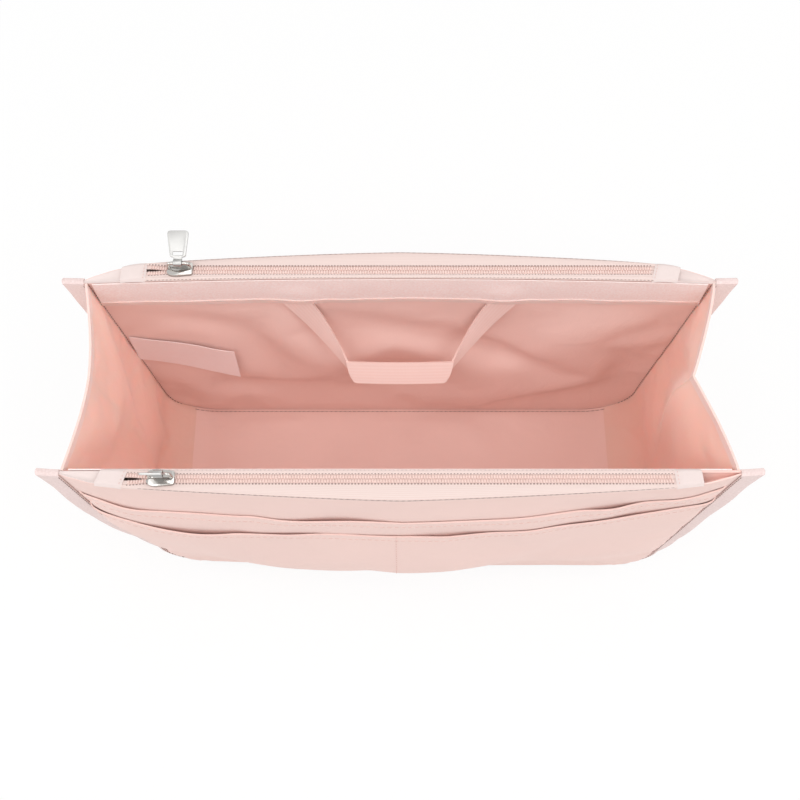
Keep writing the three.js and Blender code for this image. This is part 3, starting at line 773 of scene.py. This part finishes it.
def slip_point(slip, across, up, lift=0.0):
    """A point on a slip pocket: across from -1 to 1, up from 0 at its foot to 1 at its edge."""
    pouch = POUCHES["front"]
    wave = slip["wave"] * math.sin(across * slip["cycles"] * math.pi / 2 + 0.6)
    top = WALL_TOP - slip["drop"] + slip["rise"][0 if across < 0 else 1] * across ** 2
    gape = sum(depth * bump(across * HALF_WIDTH, middle, reach) for middle, reach, depth in slip["gapes"])
    gape *= smooth((1 - abs(across)) * 14)
    z = SLIP_LOW + (top - SLIP_LOW) * up + (wave - 0.5 * gape) * up ** 4
    x = across * (seam_half(z) - 1.4)
    off = SLIP_PLY * slip["ply"] * smooth((1 - abs(across)) * 40 + 0.45) + gape * up ** 7 + lift
    return outer_middle(pouch, x, z) + outward(pouch, x, z) * off


def make_slip_pocket(name):
    slip = SLIPS[name]

    def pocket(u, v):
        return slip_point(slip, u * 2 - 1, row_height(v, 0, 1))

    def hem(u, v):
        return slip_point(slip, (u * 2 - 1) * 0.995, HEM_FROM + (1 - HEM_FROM) * v, 0.3)

    def line(s):
        return slip_point(slip, (2 * s / HEM_LENGTH - 1) * 0.985, HEM_FROM + 0.002, 0.52)

    sewn(f"{name}_cloth", "slip", pocket, "front_pouch", name)
    sewn(f"{name}_hem", "slip_hem", hem, "front_pouch")
    stitches(f"{name}_hem_stitching", "hem", line, HEM_LENGTH, "front_pouch")


def make_binding(word, part):
    """The bound margin outside a side seam: a strip folded round the edge of both walls."""
    pouch = POUCHES[word]
    sign = SIGNS[part]
    low = 4.0

    def place(u, v):
        rise = min(1.0, u / 0.95)
        z = low + (WALL_TOP + 0.15 - low) * (1 - math.cos(rise * math.pi / 2))
        shut = 0.5 * smooth((low + 3 - z) / 3)
        if u > 0.95:
            cap = (u - 0.95) / 0.05
            z += 0.5 * math.sin(cap * math.pi / 2)
            shut = cap
        seam, edge = seam_half(z) + 0.6, margin_half(z) + 0.5
        turn = smooth((v - 0.44) / 0.12)
        out = min(1.0, v / 0.46) if v < 0.5 else min(1.0, (1 - v) / 0.46)
        x = seam + (edge - seam) * math.sin(out * math.pi / 2) ** 0.85
        near, far = inner_face(pouch, x, z) - 0.35, outer_middle(pouch, x, z).y * pouch["side"] + 0.75
        turn += (0.5 - turn) * shut
        return sign * x, pouch["side"] * (far + (near - far) * turn), z

    sewn(f"{word}_side_binding_{part}", "binding", place, f"{word}_pouch")


def make_band(word):
    """The facing band inside the mouth, with a plain turned hem along its lower edge."""
    pouch = POUCHES[word]
    half = HALF_WIDTH - BAND_END + 1.0

    def foot(x):
        return BAND_LOW + 1.3 * soft(x, 0, pouch["seed"] + 9, 34, 1) + 0.5 * soft(x, 9, pouch["seed"], 11, 1)

    def point(x, v, lift):
        z = foot(x) + (WALL_TOP - foot(x)) * v
        over_webbing = bump(abs(x), 47, 15) * (1 - smooth((v - 0.35) / 0.5))
        belly = 0.5 * arch(v) * (0.7 + 0.6 * soft(x, 3, 1.0, 18, 1))
        return x, pouch["side"] * (inner_face(pouch, x, z) - 0.6 - 0.9 * over_webbing - belly - lift), z

    sewn(f"{word}_facing_band_cloth", "band", lambda u, v: point((u * 2 - 1) * half, v, 0),
         f"{word}_pouch", f"{word}_facing_band")
    sewn(f"{word}_facing_hem", "band_hem", lambda u, v: point((u * 2 - 1) * half, 0.17 * v, 0.15),
         f"{word}_pouch")


# How wide one row of coil is, and how far tape and coil run on under the end tabs
COIL_WIDE = 2.0
UNDER_TAB = 1.2
# Left of this x, where the zip is still open, its rows part by this much on each side
COIL_PARTS = 0.6
COIL_PARTS_FROM = -103


def zip_line(word):
    return HALF_DEPTH + POUCHES[word]["zip"]


def coil_spread(x):
    """The two coil rows part a little behind the resting slider."""
    return COIL_PARTS * smooth((COIL_PARTS_FROM - x) / 8)


def make_tape(word, part):
    pouch = POUCHES[word]

    def place(u, v):
        x = (u * 2 - 1) * (ZIP_HALF + UNDER_TAB)
        if part == "inner":
            near, far = zip_line(word) - COIL_WIDE - coil_spread(x), inner_edge(pouch, x) - 0.15
        else:
            near, far = zip_line(word) + COIL_WIDE + coil_spread(x), outer_edge(pouch, x) + 0.1
        y = near + (far - near) * v
        drop = 0.3 * smooth((v - 0.7) * 4)
        return x, pouch["side"] * y, TAPE_LOW_CORNER.z + 0.4 + 0.25 * arch(v) - drop

    sewn(f"{word}_zip_tape_{part}", f"tape_{part}", place, f"{word}_pouch", f"{word}_tape_{part}")


def make_coil(word, part, pitch):
    """One row of coil: close rounded turns whose heads lie between the other row's."""
    pouch = POUCHES[word]
    out = 1 if part == "outer" else -1
    z = (COIL_LOW_CORNER.z + COIL_HIGH_CORNER.z) / 2 + 0.2
    count = int(2 * (ZIP_HALF - 0.8) / pitch)
    places = []
    for k in range(count):
        x = (k - (count - 1) / 2) * pitch + 0.25 * pitch * out
        y = pouch["side"] * (zip_line(word) + out * (0.9 + coil_spread(x)))
        places.append(Matrix.Translation(Vector((x, y, z)) * MM))
    turn = bead(pitch * 0.96, 2.1, 1.4, square=0.7)
    turns = repeat(f"{word}_coil_{part}_turns", MATERIALS["coil"], turn, places)
    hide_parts(f"{word}_coil_{part}")
    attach(turns, f"{word}_pouch")

    def core(u, v):
        x = (u * 2 - 1) * (ZIP_HALF + UNDER_TAB)
        y = zip_line(word) + out * (0.1 + coil_spread(x) + (COIL_WIDE - 0.1) * v)
        return x, pouch["side"] * y, z - 0.15 + 0.2 * arch(v)

    sewn(f"{word}_coil_{part}_cord", "coil_cord", core, f"{word}_pouch")

    def line(s):
        x = s - ZIP_HALF + 0.5
        y = zip_line(word) + out * (COIL_WIDE + 0.2 + coil_spread(x))
        return x, pouch["side"] * y, TAPE_LOW_CORNER.z + 0.75

    stitches(f"{word}_coil_{part}_thread", f"coil_{part}", line, 2 * ZIP_HALF - 1, f"{word}_pouch")


def make_tape_stitching(word):
    """Rows of thread that join the tapes to the walls. The outer row is closed to a painted shadow line along
    the tape's outer edge.
    """
    pouch = POUCHES[word]

    for part, edge, inset, lift in (("outer", outer_edge, -0.1, 0.5), ("inner", inner_edge, 0.1, 0.62)):
        def line(s, edge=edge, inset=inset, lift=lift):
            x = s - ZIP_HALF
            return x, pouch["side"] * (edge(pouch, x) + inset), TAPE_LOW_CORNER.z + lift

        stitches(f"{word}_tape_{part}_stitching", f"tape_{part}", line, 2 * ZIP_HALF, f"{word}_pouch")


# At each end of a zip: how far the end tab slants along it, and how deep the cloth beyond it sags
ZIP_ENDS = {("front", "left"): (-2.2, 1.2), ("front", "right"): (0.6, 9.0),
            ("back", "left"): (0.4, 1.0), ("back", "right"): (2.4, 2.0)}
DEEP_TUCK = 6.0


def make_end_tab(word, part):
    """The folded cloth tab over an end of the zip."""
    pouch = POUCHES[word]
    sign = SIGNS[part]
    long = TAB_HIGH_CORNER.x - TAB_LOW_CORNER.x
    slant = ZIP_ENDS[(word, part)][0]

    def place(u, v):
        x = sign * (ZIP_HALF + 0.2 + long * u) + slant * (v - 0.5)
        inner, outer = inner_edge(pouch, x) - 0.3, outer_edge(pouch, x) + 0.35
        edge = 1 - smooth(min(v, 1 - v) * 7)
        crown = 0.3 * arch(u) + 0.25 * soft(u * 10, v * 8, 3.0 + slant, 5, 4)
        z = TAPE_LOW_CORNER.z + 0.95 + crown - 1.0 * edge - 0.5 * abs(u - 0.5) ** 3 * 8
        return x, pouch["side"] * (inner + (outer - inner) * v), z

    sewn(f"{word}_zip_end_{part}", "end_tab", place, f"{word}_pouch", f"{word}_end_tab_{part}")
    x0 = sign * (ZIP_HALF + 1.0)
    y0, y1 = inner_edge(pouch, x0) + 0.3, outer_edge(pouch, x0) - 0.6

    def line(s):
        v = s / (y1 - y0)
        return x0 + slant * (v - 0.5) * 0.9, pouch["side"] * (y0 + s), TAPE_LOW_CORNER.z + 1.75

    stitches(f"{word}_zip_end_{part}_tack", "tab_tack", line, y1 - y0, f"{word}_pouch")


def make_end_tuck(word, part):
    """Cloth tucked in to shut a pouch beyond the end tab of its zip. Deep down it is lining."""
    pouch = POUCHES[word]
    sag = ZIP_ENDS[(word, part)][1]
    sign = SIGNS[part]

    def place(u, v):
        x = sign * (ZIP_HALF + 9.5 + (HALF_WIDTH - ZIP_HALF - 8.7) * u)
        inner, outer = inner_edge(pouch, x) + 0.1, outer_edge(pouch, x) - 0.4
        fall = sag * arch(v) * (1 - 0.7 * u)
        return x, pouch["side"] * (inner + (outer - inner) * v), WALL_TOP + 0.1 - fall

    sewn(f"{word}_zip_tuck_{part}", "deep_tuck" if sag > DEEP_TUCK else "tuck", place, f"{word}_pouch")


# How far each gusset folds in at the mouth: the left one roundly, the right one to a sharp edge
GUSSET_FOLDS = {"left": 5.5, "right": 13.0}
SHARP_POWER = 1.25
# How far the middle of its mouth hangs below its seams
GUSSET_DIP = 3.0
GUSSET_LOW = 0.5
GUSSET_START = math.asin((FLOOR_HALF - CORNER_FROM) / SOFT_CORNER)
GUSSET_ARC = SOFT_CORNER * (math.pi / 2 - GUSSET_START)
GUSSET_RUN = GUSSET_ARC + WALL_TOP - GUSSET_LOW - SOFT_CORNER
GUSSET_FOOT = GUSSET_LOW + corner_rise(FLOOR_HALF)
# (x0, z0, x1, z1, width, depth), x from -44 at the front seam to 44 at the back one
GUSSET_CREASES = {
    "left": ((38, 150, 2, 70, 6, 3.0), (-36, 140, -6, 60, 8, -2.5), (0, 60, 20, 20, 8, 2.5)),
    "right": ((0, 158, 4, 60, 5, 4.0), (2, 150, 34, 80, 7, -3.5), (-4, 140, -34, 70, 9, 2.5),
              (0, 60, -22, 24, 8, -2.0)),
}


def gusset_line(s):
    """The gusset's run in the XZ plane: 0 at the floor's end, 1 at the mouth."""
    run = s * GUSSET_RUN
    if run < GUSSET_ARC:
        a = GUSSET_START + run / SOFT_CORNER
        return CORNER_FROM + math.sin(a) * (SOFT_CORNER - 0.4), GUSSET_LOW + (1 - math.cos(a)) * SOFT_CORNER
    z = GUSSET_LOW + SOFT_CORNER + run - GUSSET_ARC
    return seam_half(z) - 0.4, z


def gusset_point(word, pouch, v, s):
    """v runs from the wall's seam to the middle fold."""
    sign = SIGNS[word]
    x, z = gusset_line(s)
    fold = GUSSET_FOLDS[word] * smooth((z - 18) / (WALL_TOP - 18))
    lean = v ** SHARP_POWER if word == "right" else math.sin(v * math.pi / 2)
    half_y = HALF_DEPTH - 0.25
    y = pouch["side"] * half_y * (1 - v)
    folds = FOLDS[f"gusset_{word}"]((y / half_y + 1) / 2, s) * (0.45 + 0.55 * smooth((1 - s) * 9))
    inward = fold * lean + folds
    dip = GUSSET_DIP * v ** 1.15 * smooth((z - 60) / (WALL_TOP - 60))
    if z < SOFT_CORNER:
        middle = Vector((sign * CORNER_FROM, y, SOFT_CORNER + GUSSET_LOW))
        point = Vector((sign * x, y, z))
        level = 0.9 - 2.4 * smooth((z - GUSSET_FOOT) / (SOFT_CORNER - GUSSET_FOOT))
        return point + (middle - point).normalized() * max(level, inward)
    return Vector((sign * (x - max(-1.5, inward)), y, z - dip))


def make_gusset(word, half):
    pouch = POUCHES[half]
    cloth = cloth_grid(f"gusset_{word}_{half}_cloth", "gusset", lambda u, v: gusset_point(word, pouch, u, v))
    hem = cloth_grid(f"gusset_{word}_{half}_hem", "gusset_hem",
                     lambda u, v: gusset_point(word, pouch, u, 0.98 + 0.022 * v))
    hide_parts(f"gusset_{word}_{half}")
    for piece in (cloth, hem):
        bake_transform(piece)


# The lining's height over the foot, how far it curls up beside the walls, and how much it is raised
FLOOR_LEVEL = 1.4
FLOOR_CURL = 1.8
FLOOR_LOOSE = 0.8


def make_floor():
    half_y = FLOOR_HIGH_CORNER.y

    def top(u, v):
        x, y = (u * 2 - 1) * (FLOOR_HALF + 2.5), (v * 2 - 1) * (half_y + 0.3)
        held = smooth((1 - abs(u * 2 - 1)) * 5) * smooth((1 - abs(v * 2 - 1)) * 5)
        curl = FLOOR_CURL * smooth((abs(v * 2 - 1) - 0.95) / 0.05)
        end = 0.25 * smooth((abs(u * 2 - 1) - 0.9) / 0.1)
        folds = held * max(-0.2, FLOOR_LOOSE + FOLDS["floor"](u, v))
        return x, y, FLOOR_LEVEL + end + curl * held + folds + corner_rise(x)

    def under(u, v):
        x = (u * 2 - 1) * FLOOR_HALF
        return x, (v * 2 - 1) * half_y, 0.42 + corner_rise(x)

    sewn("floor_lining_cloth", "lining", top, "base", "floor_lining")
    sewn("floor_outer_cloth", "floor", under, "base", "floor_cloth")
    for word, pouch in POUCHES.items():
        def line(s, y=pouch["side"] * (half_y - 1.2)):
            return s - FLOOR_HALF, y, 2.3 + corner_rise(s - FLOOR_HALF)

        # Painted shade: each floor seam is closed to a dark line where the floor meets a wall
        stitches(f"floor_seam_{word}", "floor", line, 2 * FLOOR_HALF, "base")


# Webbing handle
LEG_HALF = 47.0
BAR_HALF = 26.0
LOOP_DROP = 48.9
BAR_ROUND = 3.0
LEG_FLARE = 12.0
SAG_END = math.radians(35)
BAR_TOP = LOOP_DROP - WEB / 2
BAR_LOW = LOOP_DROP + WEB / 2
# The top of each leg runs on behind the facing band: as a share of the rest, and in length
HIDDEN_SHARE = 0.17
HIDDEN_LENGTH = 9.0
# How far a leg twists out of its flat, and how far the webbing arches across its width
LEG_TWIST = 3.2
WEB_ARCH = 0.3


def quadratic(a, b, c, t):
    return a * (1 - t) ** 2 + b * (2 * t * (1 - t)) + c * t ** 2


def leg_edges(t, sign):
    """The inner and outer edge of a leg on the webbing's own flat, t from the wall to the bar."""
    level = WEB / 2 * math.hypot(LEG_HALF - WEB / 2 - BAR_HALF, BAR_TOP) / BAR_TOP
    outer = quadratic(Vector((LEG_HALF + level, 0)), Vector((BAR_HALF + LEG_FLARE, BAR_TOP * 0.78)),
                      Vector((BAR_HALF - BAR_ROUND / 2, BAR_LOW - BAR_ROUND)), t)
    inner = Vector((LEG_HALF - level, 0)).lerp(Vector((BAR_HALF, BAR_TOP)), t)
    return Vector((sign * inner.x, inner.y)), Vector((sign * outer.x, outer.y))


def bar_point(u, v):
    """A point on the cross bar's flat, its lower corners rounded."""
    half = BAR_HALF + 0.6 - 2.4 * v
    spot = Vector(((u * 2 - 1) * half, BAR_TOP + (BAR_LOW - BAR_TOP) * v))
    corner = max(0.0, abs(spot.x) - (half - BAR_ROUND)) / BAR_ROUND
    if v > 0.5:
        spot.y -= BAR_ROUND * (1 - math.sqrt(max(0.0, 1 - corner ** 2))) * (v - 0.5) * 2
    return spot


def make_handle(word):
    """One length of webbing: two legs that twist towards the bar, folded over at its ends."""
    pouch = POUCHES[word]
    joint = next(j for j in frame["joints"] if j["name"] == f"{word}_handle_swing")
    pivot = Vector(joint["pos_m"]) / MM
    bend = SAG_END / BAR_LOW

    def hung(spot, lift):
        x, s = spot
        if s < 0:
            wall = inner_face(pouch, x, pivot.z - s) - 0.75
            near = abs(pivot.y) + (wall - abs(pivot.y)) * smooth(-s / 4)
            return Vector((x, pouch["side"] * near, pivot.z - s))
        off = (1 - math.cos(bend * s)) / bend + lift
        return Vector((x, pivot.y - pouch["side"] * off, pivot.z - math.sin(bend * s) / bend))

    def leg(sign, u, v):
        t = u * (1 + HIDDEN_SHARE) - HIDDEN_SHARE
        inner, outer = leg_edges(max(0.0, t), sign)
        spot = inner.lerp(outer, v)
        if t < 0:
            spot.y = t * HIDDEN_LENGTH / HIDDEN_SHARE
        twist = LEG_TWIST * smooth(t) * (v - 0.35)
        return hung(spot, WEB_ARCH * arch(v) * smooth(t * 4) - twist - 0.6 * smooth(t * 2))

    def bar(u, v):
        return hung(bar_point(u, v), 0.75 + (WEB_ARCH * arch(v) + 0.6 * arch(u)))

    parts = []
    for part, sign in SIGNS.items():
        parts.append(cloth_grid(f"{word}_handle_leg_{part}", "leg", lambda u, v, sign=sign: leg(sign, u, v)))
    parts.append(cloth_grid(f"{word}_handle_bar", "bar", bar))
    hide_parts(f"{word}_handle")
    for piece in parts:
        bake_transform(piece)


def make_label():
    pouch = POUCHES["back"]
    long, high = CUTS["label"][3:5]

    def place(u, v):
        x = LABEL_X + long * u
        z = LABEL_Z - LABEL_FALL * u + (v - 0.5) * high
        curl = 0.8 + 2.4 * u * u + 0.5 * u * (v - 0.5) ** 2 * 4
        return x, inner_face(pouch, x, z) - curl, z

    piece = sewn("label_ribbon", "label", place, "back_pouch", "label")


# (CAD piece and body, name, how wide its edges are rounded)
HARDWARE = (("slider", "zip_slider", 0.16), ("pull", "pull_tab", 0.2))


def make_hardware(word, part, name, bevel):
    """A metal piece from the frame, its edges rounded as tumbled castings are."""
    node = f"{word}_{part}"
    piece = add_object(name, frame["nodes"][node].data.copy())
    pick(piece)
    bpy.ops.object.mode_set(mode="EDIT")
    bpy.ops.mesh.select_all(action="SELECT")
    bpy.ops.mesh.remove_doubles(threshold=0.01 * MM)
    bpy.ops.mesh.dissolve_limited(angle_limit=math.radians(2))
    bpy.ops.object.mode_set(mode="OBJECT")
    own(piece, f"{word}_{name}", MATERIALS[part])
    apply_modifier(piece, "BEVEL", width=bevel * MM, segments=2, limit_method="ANGLE",
                   angle_limit=math.radians(35), use_clamp_overlap=True)
    finish_mesh(piece, math.radians(35))
    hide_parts(node)
    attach(piece, node)


# The rows of a side seam: how far beside the seam, and how far off the cloth's middle or face
SEAM_ROWS = {"outer": (0.9, 1.05), "inner": (1.0, 0.65), "corner": (-1.3, 0.35)}


def make_seam_stitching(word):
    """Dark thread along both side seams, where the binding begins; its dark colour also paints the seam's
    shade line.
    """
    pouch = POUCHES[word]

    def seam(sign, s, face):
        z = 6 + s
        half = seam_half(z) + 0.15 * soft(z, 0, pouch["seed"], 9, 1)
        beside, lift = SEAM_ROWS[face]
        x = sign * (half + beside)
        if face == "outer":
            return outer_middle(pouch, x, z) + Vector((0, pouch["side"] * lift, 0))
        return x, pouch["side"] * (inner_face(pouch, x, z) - lift), z

    for part, sign in SIGNS.items():
        for face in SEAM_ROWS:
            stitches(f"{word}_side_seam_{part}_{face}", f"seam_{face}",
                     lambda s, sign=sign, face=face: seam(sign, s, face), WALL_TOP - 7, f"{word}_pouch")


def make_divider():
    """The row of stitches that parts both slip pockets down their middle."""
    slip = SLIPS["front_slip_lower"]

    def line(s):
        lift = 0.3 + 0.25 * smooth((s - DIVIDER_LENGTH + 6) / 3)
        return slip_point(slip, -0.012, 0.04 + 0.97 * s / DIVIDER_LENGTH, lift)

    stitches("front_slip_divider", "divider", line, DIVIDER_LENGTH, "front_pouch")


def seen_directly(tree):
    """1 for the camera, mirrors and glass; 0 for all other light."""
    path = add_node(tree, "ShaderNodeLightPath")
    seen = calculate(tree, "MAXIMUM", path.outputs["Is Camera Ray"], path.outputs["Is Glossy Ray"])
    return calculate(tree, "MAXIMUM", seen, path.outputs["Is Transmission Ray"])


def show_either(tree, share, lit, plain, kind):
    """Shows one shader, and the other one by a share."""
    mix = add_node(tree, "ShaderNodeMixShader", {0: share, 1: lit.outputs[0], 2: plain.outputs[0]})
    tree.links.new(mix.outputs[0], tree.nodes[f"{kind} Output"].inputs["Surface"])


def white_paper():
    """Matt white paper sweep: plain white to the camera far from the bag, and it keeps the bag's
    shadow close to it."""
    paper, tree, shader = start_material("matt_white_paper", 0.9)
    shader.inputs["Base Color"].default_value = (*linear("#F4F3F2"), 1)
    glow = add_node(tree, "ShaderNodeEmission", {"Color": (1, 1, 1, 1), "Strength": 1.0})
    away = add_node(tree, "ShaderNodeVectorMath", {0: spot_on(tree)}, operation="LENGTH")
    blank = spread(tree, away.outputs["Value"], *PAPER_FADE, 0.86, 1.0)
    show_either(tree, calculate(tree, "MULTIPLY", seen_directly(tree), blank), shader, glow, "Material")
    return paper


# Soft lamps: (name, place in metres, size in metres, watts)
LAMPS = (
    ("left_softbox", (-0.5, -0.5, 1.15), 0.8, 4.0),
    ("right_softbox", (0.5, -0.5, 1.15), 0.8, 4.2),
    ("left_side_softbox", (-1.1, -0.1, 0.5), 0.8, 3.0),
    ("right_side_softbox", (1.1, -0.1, 0.5), 0.8, 3.0),
    ("top_softbox", (0.0, 0.1, 1.4), 0.6, 2.2),
    ("back_softbox", (0.2, 0.9, 0.8), 0.8, 1.2),
)
LAMPS_AIM = (0, 0, 0.07)
# The paper shows its shading near the bag and fades to plain white: from and to, in metres
PAPER_FADE = (0.18, 0.6)
# The camera as fitted to the photo, in metres
CAMERA_PLACE = (0.0, -0.189, 0.564)
CAMERA_TILT = math.radians(23.0)
FOCAL_LENGTH = 48.0
SENSOR_WIDTH = 36.0


def make_stage():
    scene = bpy.context.scene
    scene.view_settings.view_transform = "Standard"
    world = bpy.data.worlds.new("soft_studio")
    scene.world = world
    world.use_nodes = True
    tree = world.node_tree
    sky = tree.nodes["Background"]
    sky.inputs["Color"].default_value = (1, 1, 1, 1)
    sky.inputs["Strength"].default_value = 0.5
    plain = add_node(tree, "ShaderNodeBackground", {"Color": (1, 1, 1, 1), "Strength": 1.0})
    show_either(tree, seen_directly(tree), sky, plain, "World")

    deselect()
    bpy.ops.mesh.primitive_plane_add(size=6, location=(0, 0, -0.0005))
    floor = bpy.context.object
    floor.name = "studio_floor"
    floor.data.materials.append(white_paper())
    for name, place, size, watts in LAMPS:
        lamp = bpy.data.lights.new(name, "AREA")
        lamp.energy = watts
        lamp.size = size
        holder = add_object(name, lamp)
        holder.location = place
        holder.rotation_euler = (Vector(LAMPS_AIM) - Vector(place)).to_track_quat("-Z", "Y").to_euler()

    lens = bpy.data.cameras.new("photo_camera")
    lens.lens = FOCAL_LENGTH
    lens.sensor_width = SENSOR_WIDTH
    lens.clip_start = 0.01
    camera = add_object("photo_camera", lens)
    camera.location = CAMERA_PLACE
    camera.rotation_euler = (CAMERA_TILT, 0, 0)
    scene.camera = camera


class PouchSizes(bpy.types.PropertyGroup):
    coil_pitch: FloatProperty(name="Coil pitch", description="From one coil turn to the next",
                              default=1.15 * MM, unit="LENGTH", precision=5)


class PouchColours(bpy.types.PropertyGroup):
    outer_cloth: FloatVectorProperty(name="Outer cloth", description="Outside of the pouches", size=3,
                                     subtype="COLOR", default=linear("#F1D2CA"), min=0, max=1)
    inner_cloth: FloatVectorProperty(name="Inner cloth", description="Inside of the main compartment", size=3,
                                     subtype="COLOR", default=linear("#FBD7CE"), min=0, max=1)


class PieceOperator:
    bl_options = {"REGISTER", "UNDO"}


class POUCH_OT_materials(PieceOperator, bpy.types.Operator):
    """Makes the cloth, webbing, thread and metal finishes"""
    bl_idname = "pouch.materials"
    bl_label = "Finishes"

    def execute(self, context):
        make_materials(context.scene.pouch_colours)
        return {"FINISHED"}


class POUCH_OT_folds(PieceOperator, bpy.types.Operator):
    """Settles the cloth panels into their folds"""
    bl_idname = "pouch.folds"
    bl_label = "Cloth folds"

    def execute(self, context):
        for number, (name, cut) in enumerate(WALL_FULLNESS.items()):
            make_folds(name, (2 * HALF_WIDTH, WALL_TOP), WALL_CREASES[name], cut, 7.0 + number)
        for number, (word, creases) in enumerate(GUSSET_CREASES.items()):
            make_folds(f"gusset_{word}", (2 * HALF_DEPTH, GUSSET_RUN), creases, GUSSET_FULLNESS, 21.0 + number)
        make_folds("floor", (2 * FLOOR_HALF, 2 * HALF_DEPTH), FLOOR_CREASES, FLOOR_FULLNESS, 31.0)
        return {"FINISHED"}


class POUCH_OT_walls(PieceOperator, bpy.types.Operator):
    """Makes the walls of both pouches with their bound side seams"""
    bl_idname = "pouch.walls"
    bl_label = "Walls"

    def execute(self, context):
        for word in POUCHES:
            make_wall(word, "inner")
            make_wall(word, "outer")
            make_seam_stitching(word)
            for part in SIGNS:
                make_binding(word, part)
        return {"FINISHED"}


class POUCH_OT_slip_pockets(PieceOperator, bpy.types.Operator):
    """Makes the front slip pockets with their hems and divider"""
    bl_idname = "pouch.slip_pockets"
    bl_label = "Slip pockets"

    def execute(self, context):
        for name in SLIPS:
            make_slip_pocket(name)
        make_divider()
        return {"FINISHED"}


class POUCH_OT_bands(PieceOperator, bpy.types.Operator):
    """Makes the facing bands inside the mouth"""
    bl_idname = "pouch.bands"
    bl_label = "Facing bands"

    def execute(self, context):
        for word in POUCHES:
            make_band(word)
        return {"FINISHED"}


class POUCH_OT_zips(PieceOperator, bpy.types.Operator):
    """Makes the zip tapes, coils and end tabs"""
    bl_idname = "pouch.zips"
    bl_label = "Zips"

    def execute(self, context):
        for word in POUCHES:
            for part in ("inner", "outer"):
                make_tape(word, part)
                make_coil(word, part, context.scene.pouch_sizes.coil_pitch / MM)
            make_tape_stitching(word)
            for part in SIGNS:
                make_end_tab(word, part)
        for word, part in ZIP_ENDS:
            make_end_tuck(word, part)
        return {"FINISHED"}


class POUCH_OT_hardware(PieceOperator, bpy.types.Operator):
    """Finishes the zip sliders and pull tabs"""
    bl_idname = "pouch.hardware"
    bl_label = "Sliders and pulls"

    def execute(self, context):
        for word in POUCHES:
            for part, name, bevel in HARDWARE:
                make_hardware(word, part, name, bevel)
        return {"FINISHED"}


class POUCH_OT_gussets(PieceOperator, bpy.types.Operator):
    """Makes the folding side gussets and the floor"""
    bl_idname = "pouch.gussets"
    bl_label = "Gussets and floor"

    def execute(self, context):
        for word in SIGNS:
            for half in POUCHES:
                make_gusset(word, half)
        make_floor()
        return {"FINISHED"}


class POUCH_OT_handles(PieceOperator, bpy.types.Operator):
    """Makes the webbing handles and the label"""
    bl_idname = "pouch.handles"
    bl_label = "Handles and label"

    def execute(self, context):
        for word in POUCHES:
            make_handle(word)
        make_label()
        return {"FINISHED"}


class POUCH_OT_stage(PieceOperator, bpy.types.Operator):
    """Sets up the white floor, soft lamps and camera"""
    bl_idname = "pouch.stage"
    bl_label = "Stage"

    def execute(self, context):
        make_stage()
        return {"FINISHED"}


class POUCH_PT_panel(bpy.types.Panel):
    """Lists the steps that dress the organiser"""
    bl_idname = "POUCH_PT_panel"
    bl_label = "Pouch organiser"
    bl_space_type = "VIEW_3D"
    bl_region_type = "UI"
    bl_category = "Pouch"

    def draw(self, context):
        column = self.layout.column()
        for step in STEPS:
            column.operator(step.bl_idname)
        column.prop(context.scene.pouch_sizes, "coil_pitch")
        column.prop(context.scene.pouch_colours, "outer_cloth")
        column.prop(context.scene.pouch_colours, "inner_cloth")


STEPS = (POUCH_OT_stage, POUCH_OT_materials, POUCH_OT_folds, POUCH_OT_walls, POUCH_OT_slip_pockets,
         POUCH_OT_bands, POUCH_OT_zips, POUCH_OT_hardware, POUCH_OT_gussets, POUCH_OT_handles)
CLASSES = (PouchSizes, PouchColours, *STEPS, POUCH_PT_panel)


def register():
    for each in CLASSES:
        bpy.utils.register_class(each)
    bpy.types.Scene.pouch_sizes = PointerProperty(type=PouchSizes)
    bpy.types.Scene.pouch_colours = PointerProperty(type=PouchColours)


def unregister():
    del bpy.types.Scene.pouch_colours
    del bpy.types.Scene.pouch_sizes
    for each in reversed(CLASSES):
        bpy.utils.unregister_class(each)


def main():
    register()
    bpy.ops.pouch.stage()
    bpy.ops.pouch.materials()
    bpy.ops.pouch.folds()
    bpy.ops.pouch.walls()
    bpy.ops.pouch.slip_pockets()
    bpy.ops.pouch.bands()
    bpy.ops.pouch.zips()
    bpy.ops.pouch.hardware()
    bpy.ops.pouch.gussets()
    bpy.ops.pouch.handles()


if __name__ == "__main__":
    main()
